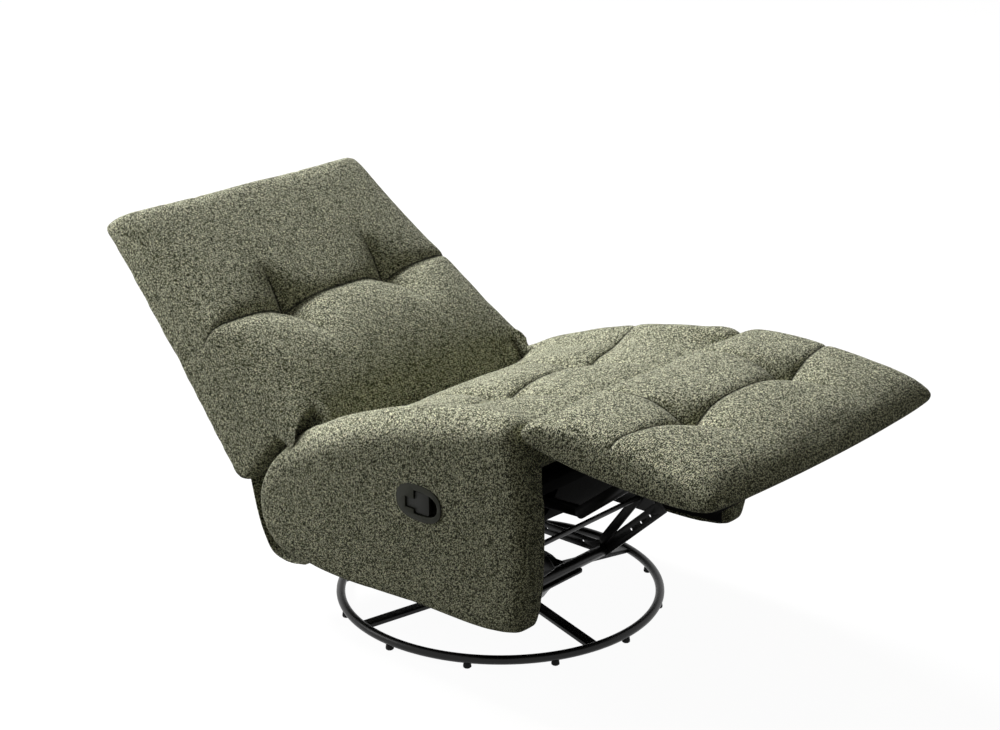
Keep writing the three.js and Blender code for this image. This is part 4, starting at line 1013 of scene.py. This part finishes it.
def make_room_for_back(piece):
    """Moves the seat's rear out of the space that the back's padding takes up over its travel."""
    _, radius, band, step = hinge_spots(points_of(bpy.data.objects["back_cover"]))
    between = band < ROOM["bands"]
    reach = np.full((ROOM["bands"], ROOM["steps"]), BACK_ROUND)
    for turn in np.linspace(0.0, BACK["travel"], ROOM["turns"]):
        spot = np.round(step + turn / 360 * ROOM["steps"]).astype(int) % ROOM["steps"]
        np.maximum.at(reach, (band[between], spot[between]), radius[between])
    around = range(-ROOM["spread"], ROOM["spread"] + 1)
    reach = np.stack([np.roll(reach, k, 1) for k in around]).max(0)
    reach = np.minimum(reach, BACK_ROUND + ROOM["most"])
    reach = sum(np.roll(reach, k, 1) for k in around) / len(around) + ROOM["gap"]
    points = points_of(piece)
    away, radius, band, step = hinge_spots(points)
    limit = reach[np.minimum(band, ROOM["bands"] - 1), np.round(step).astype(int) % ROOM["steps"]]
    crowd = (radius < limit) & (points[:, 2] > deck_top(points[:, 1])) & (band < ROOM["bands"])
    pushed = HINGE + away / np.maximum(radius, TINY)[:, None] * limit[:, None]
    points[crowd, 1:] = pushed[crowd]
    move_points(piece, points)


def build_seat_cover():
    """Seat and side panels under one cover: the seat's top runs over the shoulders with no seam between."""
    piece = joined("seat_cover", [seat_body(), panel_body(1), panel_body(-1)])
    faces, hold = SEAT_FACES, SEAT_HOLD

    def share(points, normals):
        aside = np.abs(points[:, 0])
        up = smooth_step(*faces["up"], normals[:, 2])
        over = 1 - smooth_step(*faces["shoulder_x"], aside)
        above = smooth_step(*faces["deck_fade"], points[:, 2] - deck_top(points[:, 1]) - faces["over_deck"])
        on_side = smooth_step(*faces["outer_x"], aside) * faces["outer_share"]
        on_side *= smooth_step(*faces["outer_rise"], points[:, 2] - seat_top(points[:, 1]))
        return np.maximum(up * mix(faces["shoulder_share"], 1.0, over) * above, on_side)

    def seams(points):
        return seam_distances(points[:, 0], points[:, 1], SEAT_TUFTS)

    points, normals = points_of(piece), normals_of(piece)
    top = share(points, normals)
    over_deck = points[:, 2] > deck_top(points[:, 1]) + faces["over_deck"]
    middle = 1 - smooth_step(SUNK["from_x"], SUNK["to_x"], np.abs(points[:, 0]))
    sunk = SUNK["depth"] * (smooth_step(*faces["up"], normals[:, 2]) * over_deck) * middle
    sink_along_normals(piece, tuft_relief(*seams(points), SEAT_TUFTS) * top + sunk)

    points = points_of(piece)
    aside = np.abs(points[:, 0])
    hidden = (aside < SEAT["inner"] + hold["inner_reach"]) & (top < PLAIN_TO)
    held = np.maximum(crease_hold(*seams(points), SEAT_TUFTS) * (top > SEWN_FROM), hidden)
    low = smooth_step(*hold["low"], seat_top(points[:, 1]) - points[:, 2])
    held = np.maximum(held, mix(*hold["outer"], low) * smooth_step(*hold["outer_x"], aside))
    held = np.maximum(held, hold["low_share"] * low * (aside > SEAT["inner"] - hold["low_reach"]))
    held = np.maximum(held, 1 - smooth_step(*hold["handle"], on_handle(points)))
    inflate(piece, held)
    subdivided(piece)
    sink_pocket(piece)

    points, normals = points_of(piece), normals_of(piece)
    to_long, to_cross = seams(points)
    top = smooth_step(*SEAM_SHOWN, share(points, normals))
    mark_seams(piece, to_long, to_cross, top, points[:, 1], smooth_step(*HEAD_SIDE, to_cross))
    make_room_for_back(piece)
    shade(piece, COVER_ANGLE)
    finish_piece(piece, "seat", SEWN_CLOTH, ["seat_cushion", "side_panel_left", "side_panel_right"])


def panel_reach(slices, outs):
    """How far up the back each slice of a side panel reaches over its travel, by distance out from it."""
    outline = panel_outline(REACH["outline"])
    inward = inward_of(outline)
    rounding = panel_rounding(outline)[0]
    thickness = SEAT["half_width"] - SEAT["inner"]
    step = outs[1] - outs[0]
    reach = np.full((len(slices), len(outs)), -1.0)
    for k, x in enumerate(slices):
        lean = np.clip(1 - (thickness - x) / rounding, 0.0, 1.0)
        inset = rounding * (1 - np.sqrt(1 - lean * lean)) * PANEL["edge_share"]
        at = outline + inward * inset[:, None]
        rel = at[at[:, 0] > SEAT["rear_y"] - BACK["pad_low"]] - HINGE
        for turn in np.radians(np.linspace(0.0, BACK["travel"], REACH["turns"])):
            c, s = math.cos(turn), math.sin(turn)
            spun = np.column_stack([rel[:, 0] * c + rel[:, 1] * s, rel[:, 1] * c - rel[:, 0] * s])
            spun = spun + HINGE - BACK_LOW
            place = np.round((spun @ BACK_OUT - outs[0]) / step).astype(int)
            inside = (place >= 0) & (place < len(outs))
            np.maximum.at(reach[k], place[inside], (spun @ BACK_ALONG)[inside])
    around = (-1, 0, 1)
    reach = np.stack([np.roll(reach, k, 1) for k in around]).max(0)
    return sum(np.roll(reach, k, 1) for k in around) / len(around)


def clear_panels(piece):
    """Ends the back's padding above the side panels, where it is wider than the seat between them."""
    points = points_of(piece)
    across, along, out = back_place(points)
    slices = np.linspace(0.0, SEAT["half_width"] - SEAT["inner"], REACH["slices"])
    outs = np.arange(-BACK["pad_low"] - REACH["past"], REACH["past"], REACH["step"])
    reach = panel_reach(slices, outs)
    row = (np.abs(across) - SEAT["inner"]) / (slices[1] - slices[0])
    row = np.clip(row, 0, len(slices) - 1 - LAST_CELL)
    column = np.clip((out - outs[0]) / (outs[1] - outs[0]), 1, len(outs) - 2 - LAST_CELL)
    i, j = row.astype(int), column.astype(int)
    u, v = row - i, column - j
    limit = mix(mix(reach[i, j], reach[i, j + 1], v), mix(reach[i + 1, j], reach[i + 1, j + 1], v), u)
    limit += BACK["panel_gap"]
    from_x, to_x = (SEAT["inner"] - inside for inside in REACH["beside"])
    beside = smooth_step(from_x, to_x, np.abs(across))
    rise = np.maximum(limit - along, 0.0) * beside * (out > outs[0] + REACH["skip"])
    points[:, 1:] += rise[:, None] * BACK_ALONG
    move_points(piece, points)


def build_back_cover():
    """Pad and wedge under one cover, with no seam between them on the sides."""
    piece = joined("back_cover", [back_pad_body(), back_shell_body()])
    faces, hold = BACK_FACES, BACK_HOLD

    def share(points, normals):
        across, along, out = back_place(points)
        facing = normals[:, 1] * BACK_OUT[0] + normals[:, 2] * BACK_OUT[1]
        front = smooth_step(*faces["front"], facing) * smooth_step(*faces["front_out"], out)
        on_side = smooth_step(*faces["side"], np.abs(normals[:, 0])) * smooth_step(*faces["side_out"], out)
        return np.maximum(front, on_side * faces["side_share"]) * smooth_step(*faces["foot"], along)

    def seams(across, along):
        return seam_distances(across, along, BACK_TUFTS)

    points, normals = points_of(piece), normals_of(piece)
    across, along, out = back_place(points)
    top = share(points, normals)
    sink_along_normals(piece, tuft_relief(*seams(across, along), BACK_TUFTS) * top)

    across, along, out = back_place(points_of(piece))
    rear = smooth_step(*hold["rear"], -out)
    held = crease_hold(*seams(across, along), BACK_TUFTS) * (top > SEWN_FROM)
    held = np.maximum(held, hold["rear_share"] * rear)
    held = np.maximum(held, 1 - smooth_step(*hold["foot"], along))
    inflate(piece, held)
    subdivided(piece)
    clear_panels(piece)

    points, normals = points_of(piece), normals_of(piece)
    across, along, out = back_place(points)
    from_along, to_along = (BACK_LENGTH - below for below in faces["top_end"])
    top = smooth_step(*SEAM_SHOWN, share(points, normals))
    mark_seams(piece, *seams(across, along), top, along, smooth_step(from_along, to_along, along))
    shade(piece, COVER_ANGLE)
    finish_piece(piece, "back", SEWN_CLOTH, ["back_cushion", "back_shell"])


def build_foot_cover():
    """The footrest's cushion under its cover, whose flat underside and lowest rim are painted near black as
    shade.
    """
    piece = joined("footrest_cover", [foot_body()])

    def share(normals):
        return smooth_step(*FOOT_FACES["up"], normals[:, 2])

    def seams(points):
        return seam_distances(points[:, 0], points[:, 1], FOOT_TUFTS)

    points = points_of(piece)
    top = share(normals_of(piece))
    sink_along_normals(piece, tuft_relief(*seams(points), FOOT_TUFTS) * top)

    points = points_of(piece)
    flat = points[:, 2] < FOOT["board_top"] + FOOT["on_board"]
    held = np.maximum(crease_hold(*seams(points), FOOT_TUFTS) * (top > SEWN_FROM), flat)
    rim = 1 - smooth_step(*FOOT_HOLD["rim"], points[:, 2] - FOOT["front_z"])
    held = np.maximum(held, FOOT_HOLD["rim_share"] * rim)
    inflate(piece, held)
    subdivided(piece)

    points = points_of(piece)
    to_long, to_cross = seams(points)
    top = smooth_step(*SEAM_SHOWN, share(normals_of(piece)))
    # Painted shade on the underside: below a height, and between the board's front and rear ends
    edge = FOOT["painted_shade_edge"]
    under = 1 - smooth_step(FOOT["painted_shade_z"], FOOT["painted_shade_z"] + FOOT["painted_shade_rise"], points[:, 2])
    under *= smooth_step(FOOT["painted_shade_front_y"] - edge, FOOT["painted_shade_front_y"] + edge, points[:, 1])
    under *= 1 - smooth_step(FOOT["painted_shade_rear_y"] - edge, FOOT["painted_shade_rear_y"] + edge, points[:, 1])
    layer = piece.data.attributes.new("painted_shade_under", "FLOAT", "POINT")
    layer.data.foreach_set("value", under.astype(np.float32))
    mark_seams(piece, to_long, to_cross, top, points[:, 1], smooth_step(*HEAD_SIDE, to_cross))
    shade(piece, COVER_ANGLE)
    finish_piece(piece, "footrest", SEWN_CLOTH, ["footrest_cushion"])


# Metal and plastic

def refined(node, body, material, edge=EDGE["thin_metal"]):
    """A finer piece from a CAD node: faces merged, sharp edges broken, smooth where the real one is round."""
    piece = bpy.data.objects.new(node + "_fine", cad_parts[node].data.copy())
    bpy.context.scene.collection.objects.link(piece)
    flat_limit, sharp_limit = math.radians(MERGE["flat_angle"]), math.radians(MERGE["sharp_angle"])

    def work(bm):
        bmesh.ops.remove_doubles(bm, verts=bm.verts[:], dist=MERGE["distance"])
        bmesh.ops.dissolve_limit(bm, angle_limit=flat_limit, verts=bm.verts[:], edges=bm.edges[:])
        sharp = [e for e in bm.edges if len(e.link_faces) == 2 and e.calc_face_angle(0.0) > sharp_limit]
        bmesh.ops.bevel(bm, geom=sharp, offset=edge, segments=MERGE["segments"], profile=0.5, affect="EDGES",
                        clamp_overlap=True)

    with_bmesh(piece, work)
    shade(piece, METAL_ANGLE)
    return finish_piece(piece, body, material, [node])


def ring_tree():
    """A round tube bent to a level ring, with its sizes as named inputs."""
    tree, add, sizes = new_group(
        "bent_ring_tube", "GeometryNodeTree",
        [("Ring Radius", "NodeSocketFloat", 0.3), ("Tube Radius", "NodeSocketFloat", 0.01),
         ("Height", "NodeSocketFloat", 0.0)],
        [("Tube", "NodeSocketGeometry")])

    def circle(steps, radius):
        return add("GeometryNodeCurvePrimitiveCircle", {"Resolution": steps, "Radius": radius}).outputs[0]

    path = circle(RING["steps"], sizes["Ring Radius"])
    section = circle(RING["sides"], sizes["Tube Radius"])
    tube = add("GeometryNodeCurveToMesh", {"Curve": path, "Profile Curve": section})
    lift = add("ShaderNodeCombineXYZ", {"Z": sizes["Height"]})
    level = add("GeometryNodeTransform", {"Geometry": tube.outputs[0], "Translation": lift.outputs[0]})
    whole = add("GeometryNodeRealizeInstances", {"Geometry": level.outputs[0]})
    coated = add("GeometryNodeSetMaterial", {"Geometry": whole.outputs[0], "Material": BLACK_METAL})
    add("NodeGroupOutput", {"Tube": coated.outputs[0]})
    return tree


def ring_tube():
    """The base ring, a smooth bent tube."""
    piece = new_piece("ring_tube", [], [])
    bend = piece.modifiers.new("bend", "NODES")
    bend.node_group = ring_tree()
    sizes = {"Ring Radius": RING["radius"], "Tube Radius": RING["tube"], "Height": RING["height"]}
    for socket in bend.node_group.interface.items_tree:
        if socket.in_out == "INPUT":
            bend[socket.identifier] = sizes[socket.name]
    settled(piece)
    with_bmesh(piece, face_outwards)
    shade(piece, RING_ANGLE)
    return finish_piece(piece, "base", BLACK_METAL, ["base_ring"])


def build_metalwork():
    """The base, the turning frame, the mechanism's plates and the footrest's links."""
    ring_tube()
    for i in range(RING["glides"]):
        refined(f"glide_{i + 1:02d}", "base", RUBBER, EDGE["rubber"])
    for node in ("hub_pan", "spoke_1", "spoke_2", "spoke_3", "spoke_4"):
        refined(node, "base", BLACK_METAL, EDGE["base_metal"])
    for node, body in (("bearing_race_lower", "base"), ("king_bolt", "base"), ("bearing_race_upper", "seat")):
        refined(node, body, DARK_STEEL, EDGE["turned_metal"])
    for node in ("swivel_plate", "cross_tube_front", "cross_tube_rear"):
        refined(node, "seat", BLACK_METAL)
    for name in ("base_rail", "front_arm", "rear_arm", "brace", "side_plate"):
        for side in ("left", "right"):
            refined(f"{name}_{side}", "seat", BLACK_METAL)
    refined("cross_rod", "seat", DARK_STEEL)
    for side in ("left", "right"):
        refined(f"back_hinge_pin_{side}", "seat", DARK_STEEL)
        refined(f"back_bracket_{side}", "back", DARK_STEEL)
        refined(f"footrest_lower_link_{side}", f"lower_link_{side}", BLACK_METAL)
        refined(f"footrest_upper_link_{side}", f"upper_link_{side}", BLACK_METAL)
        refined(f"footrest_bracket_{side}", "footrest", BLACK_METAL)


def build_handle():
    refined("handle_escutcheon", "seat", HANDLE_PLASTIC, EDGE["plastic"])
    refined("release_paddle", "paddle", PADDLE_PLASTIC, EDGE["plastic"])


def build_boards():
    """The deck, the front rail and the footrest's board, all wrapped in the lining cloth."""
    for node, body in (("seat_deck", "seat"), ("seat_front_rail", "seat"), ("footrest_board", "footrest")):
        refined(node, body, LINING_CLOTH, EDGE["board"])


# Thin cloth

def thin_sheet(name, rows, thickness, material):
    """A closed thin piece from a grid of middle points, rows by columns by 3."""
    down, across = rows.shape[:2]
    faces = [(j * across + i, j * across + i + 1, (j + 1) * across + i + 1, (j + 1) * across + i)
             for j in range(down - 1) for i in range(across - 1)]
    piece = new_piece(name, rows.reshape(-1, 3), faces)
    wall = piece.modifiers.new("wall", "SOLIDIFY")
    wall.thickness = thickness
    wall.offset = 0.0
    settled(piece)
    with_bmesh(piece, face_outwards)
    shade(piece, SHEET_ANGLE)
    piece.data.materials.clear()
    piece.data.materials.append(material)
    return piece


def panel_foot(y):
    """The height of the panels' foot."""
    p = PANEL
    places = (p["front_y"] + p["toe"], mix(p["front_y"], p["foot_rear_y"], 0.5), p["foot_rear_y"])
    return np.interp(y, places, (p["foot_front_z"], p["foot_mid_z"], p["foot_rear_z"]))


def build_linings():
    """Black cloth on the panels' inner faces, under the deck."""
    scale = LINING["sag_scale"]
    y_line = np.linspace(PANEL["front_y"] + LINING["front_inset"], LINING["rear_y"], LINING["columns"])
    low = panel_foot(y_line) + LINING["inset"]
    high = deck_top(y_line) - LINING["below_deck"]
    for side, name in ((1, "left"), (-1, "right")):
        rows = []
        for share in np.linspace(0.0, 1.0, LINING["rows"]):
            z = mix(low, high, share)
            sag = [LINING["sag"] * noise.noise((y * scale, height * scale, LINING["sag_row"] * side))
                   for y, height in zip(y_line, z)]
            x = side * (LINING["inner"] + np.array(sag))
            rows.append(np.column_stack([x, y_line, z]))
        piece = thin_sheet(f"panel_lining_{name}", np.array(rows), LINING["thickness"], LINING_CLOTH)
        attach(piece, "seat")


def build_dust_cover():
    """Black cloth hung under the deck between the side plates."""
    cover = DUST_COVER
    low_z, scale = cover["low_z"], cover["ripple_scale"]
    front = deck_top(cover["front_y"]) - cover["below_deck"]
    rear = deck_top(cover["rear_y"]) - cover["below_deck"]
    y_share, z_share = FRONT_FOLD_SHARES
    route = smooth_route([
        (cover["front_y"], front),
        (mix(cover["front_y"], cover["fold_y"], y_share), mix(front, low_z, z_share)),
        (cover["fold_y"] + cover["bend"], low_z),
        (0.0, low_z - cover["middle_drop"]),
        (cover["rear_y"] - cover["bend"], low_z),
        (cover["rear_y"], rear),
    ], cover["steps"])
    across = np.linspace(-cover["half_width"], cover["half_width"], cover["steps"])
    rows = []
    for y, z in route:
        sag = np.array([cover["sag"] * noise.noise((x * scale, y * scale, cover["ripple_row"]))
                        - cover["sag"] * (1 - (x / cover["half_width"]) ** 2) for x in across])
        rows.append(np.column_stack([across, np.full(len(across), y), z + sag]))
    piece = thin_sheet("dust_cover", np.array(rows), LINING["thickness"], LINING_CLOTH)
    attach(piece, "seat")


def build_skirt():
    """Cloth hung from the back's heel, down in a belly and up to its hem under the panels' feet."""
    top = np.array(on_back(*SKIRT["top"]))
    belly = np.array(SKIRT["belly"])
    hem = np.array((SKIRT["hem_y"], float(panel_foot(SKIRT["hem_y"])) - SKIRT["hem_below"]))
    points = [top]
    points += [(mix(top[0], belly[0], y), mix(top[1], belly[1], z)) for y, z in SKIRT_DROP_SHARES]
    points.append(belly)
    points += [(mix(belly[0], hem[0], y), mix(belly[1], hem[1], z)) for y, z in SKIRT_HEM_SHARES]
    points.append(hem)
    route = smooth_route(points, SKIRT["rows"])
    run = np.gradient(route, axis=0)
    run /= np.linalg.norm(run, axis=1)[:, None]
    out = np.column_stack([run[:, 1], -run[:, 0]])
    across = np.linspace(-SKIRT["half_width"], SKIRT["half_width"], SKIRT["columns"])
    rows = []
    for k, (at, aside) in enumerate(zip(route, out)):
        share = k / (len(route) - 1)
        sag = math.sin(math.pi * share) ** SKIRT["fold_power"] * SKIRT["fold"]
        drift = SKIRT["fold_drift"] * share + SKIRT["fold_start"]
        spots = [(x * SKIRT["fold_scale"], drift, SKIRT["fold_row"]) for x in across]
        fold = np.array([sag * noise.noise(spot) for spot in spots])
        rows.append(np.column_stack([across, at[0] + fold * aside[0], at[1] + fold * aside[1]]))
    piece = thin_sheet("rear_skirt_cloth", np.array(rows), SKIRT["thickness"], PLAIN_CLOTH)
    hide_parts("rear_skirt")
    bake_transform(piece)


# Stage

def seen_directly(add):
    """1 where the camera, a reflection or a pane looks at the surface, and 0 where it only lights others."""
    path = add("ShaderNodeLightPath").outputs
    seen = worked_out(add, "MAXIMUM", path["Is Camera Ray"], path["Is Glossy Ray"])
    return worked_out(add, "MAXIMUM", seen, path["Is Transmission Ray"])


def build_floor():
    """A pale floor that shows the shadows, and gives little light back."""
    reach = FLOOR["reach"]
    corners = [(-reach, -reach, 0), (reach, -reach, 0), (reach, reach, 0), (-reach, reach, 0)]
    floor = new_piece("floor", corners, [(0, 1, 2, 3)])
    floor.location.z = -FLOOR["below"]
    material, add = new_material("pale_floor")
    paint = add("ShaderNodeBsdfDiffuse", {"Color": FLOOR["paint"]})
    glow = add("ShaderNodeEmission", {"Color": WHITE, "Strength": FLOOR["glow"]})
    both = add("ShaderNodeAddShader", {0: paint.outputs[0], 1: glow.outputs[0]})
    dim = add("ShaderNodeBsdfDiffuse", {"Color": FLOOR["dim"]})
    pick = add("ShaderNodeMixShader", {0: seen_directly(add), 1: dim.outputs[0], 2: both.outputs[0]})
    add("ShaderNodeOutputMaterial", {"Surface": pick.outputs[0]})
    floor.data.materials.append(material)


def build_world():
    """White where the camera sees it, and a soft fill on the chair."""
    world = bpy.data.worlds.new("studio")
    bpy.context.scene.world = world
    world.use_nodes = True
    world.node_tree.nodes.clear()
    add = node_adder(world.node_tree)
    fill = add("ShaderNodeBackground", {"Color": FILL["color"], "Strength": FILL["strength"]})
    white = add("ShaderNodeBackground", {"Color": WHITE, "Strength": 1.0})
    pick = add("ShaderNodeMixShader", {0: seen_directly(add), 1: fill.outputs[0], 2: white.outputs[0]})
    add("ShaderNodeOutputWorld", {"Surface": pick.outputs[0]})


def build_stage():
    scene = bpy.context.scene
    scene.view_settings.view_transform = "Standard"
    build_floor()
    build_world()
    for name, lamp in LAMPS.items():
        light = bpy.data.lights.new(name, "AREA")
        light.shape = "DISK"
        light.size = lamp["size"]
        light.energy = lamp["power"]
        holder = bpy.data.objects.new(name, light)
        holder.location = lamp["place"]
        aim = Vector(lamp["target"]) - Vector(lamp["place"])
        holder.rotation_euler = aim.to_track_quat("-Z", "Y").to_euler()
        scene.collection.objects.link(holder)

    camera = bpy.data.objects.new("camera", bpy.data.cameras.new("camera"))
    camera.data.lens = CAMERA_LENS
    camera.data.sensor_width = SENSOR_WIDTH
    camera.data.sensor_fit = "HORIZONTAL"
    camera.location = CAMERA_PLACE
    camera.rotation_euler = CAMERA_LOOK.to_track_quat("-Z", "Y").to_euler()
    scene.collection.objects.link(camera)
    scene.camera = camera


build_stage()
build_metalwork()
build_handle()
build_boards()
build_linings()
build_dust_cover()
build_skirt()
build_foot_cover()
build_back_cover()
build_seat_cover()
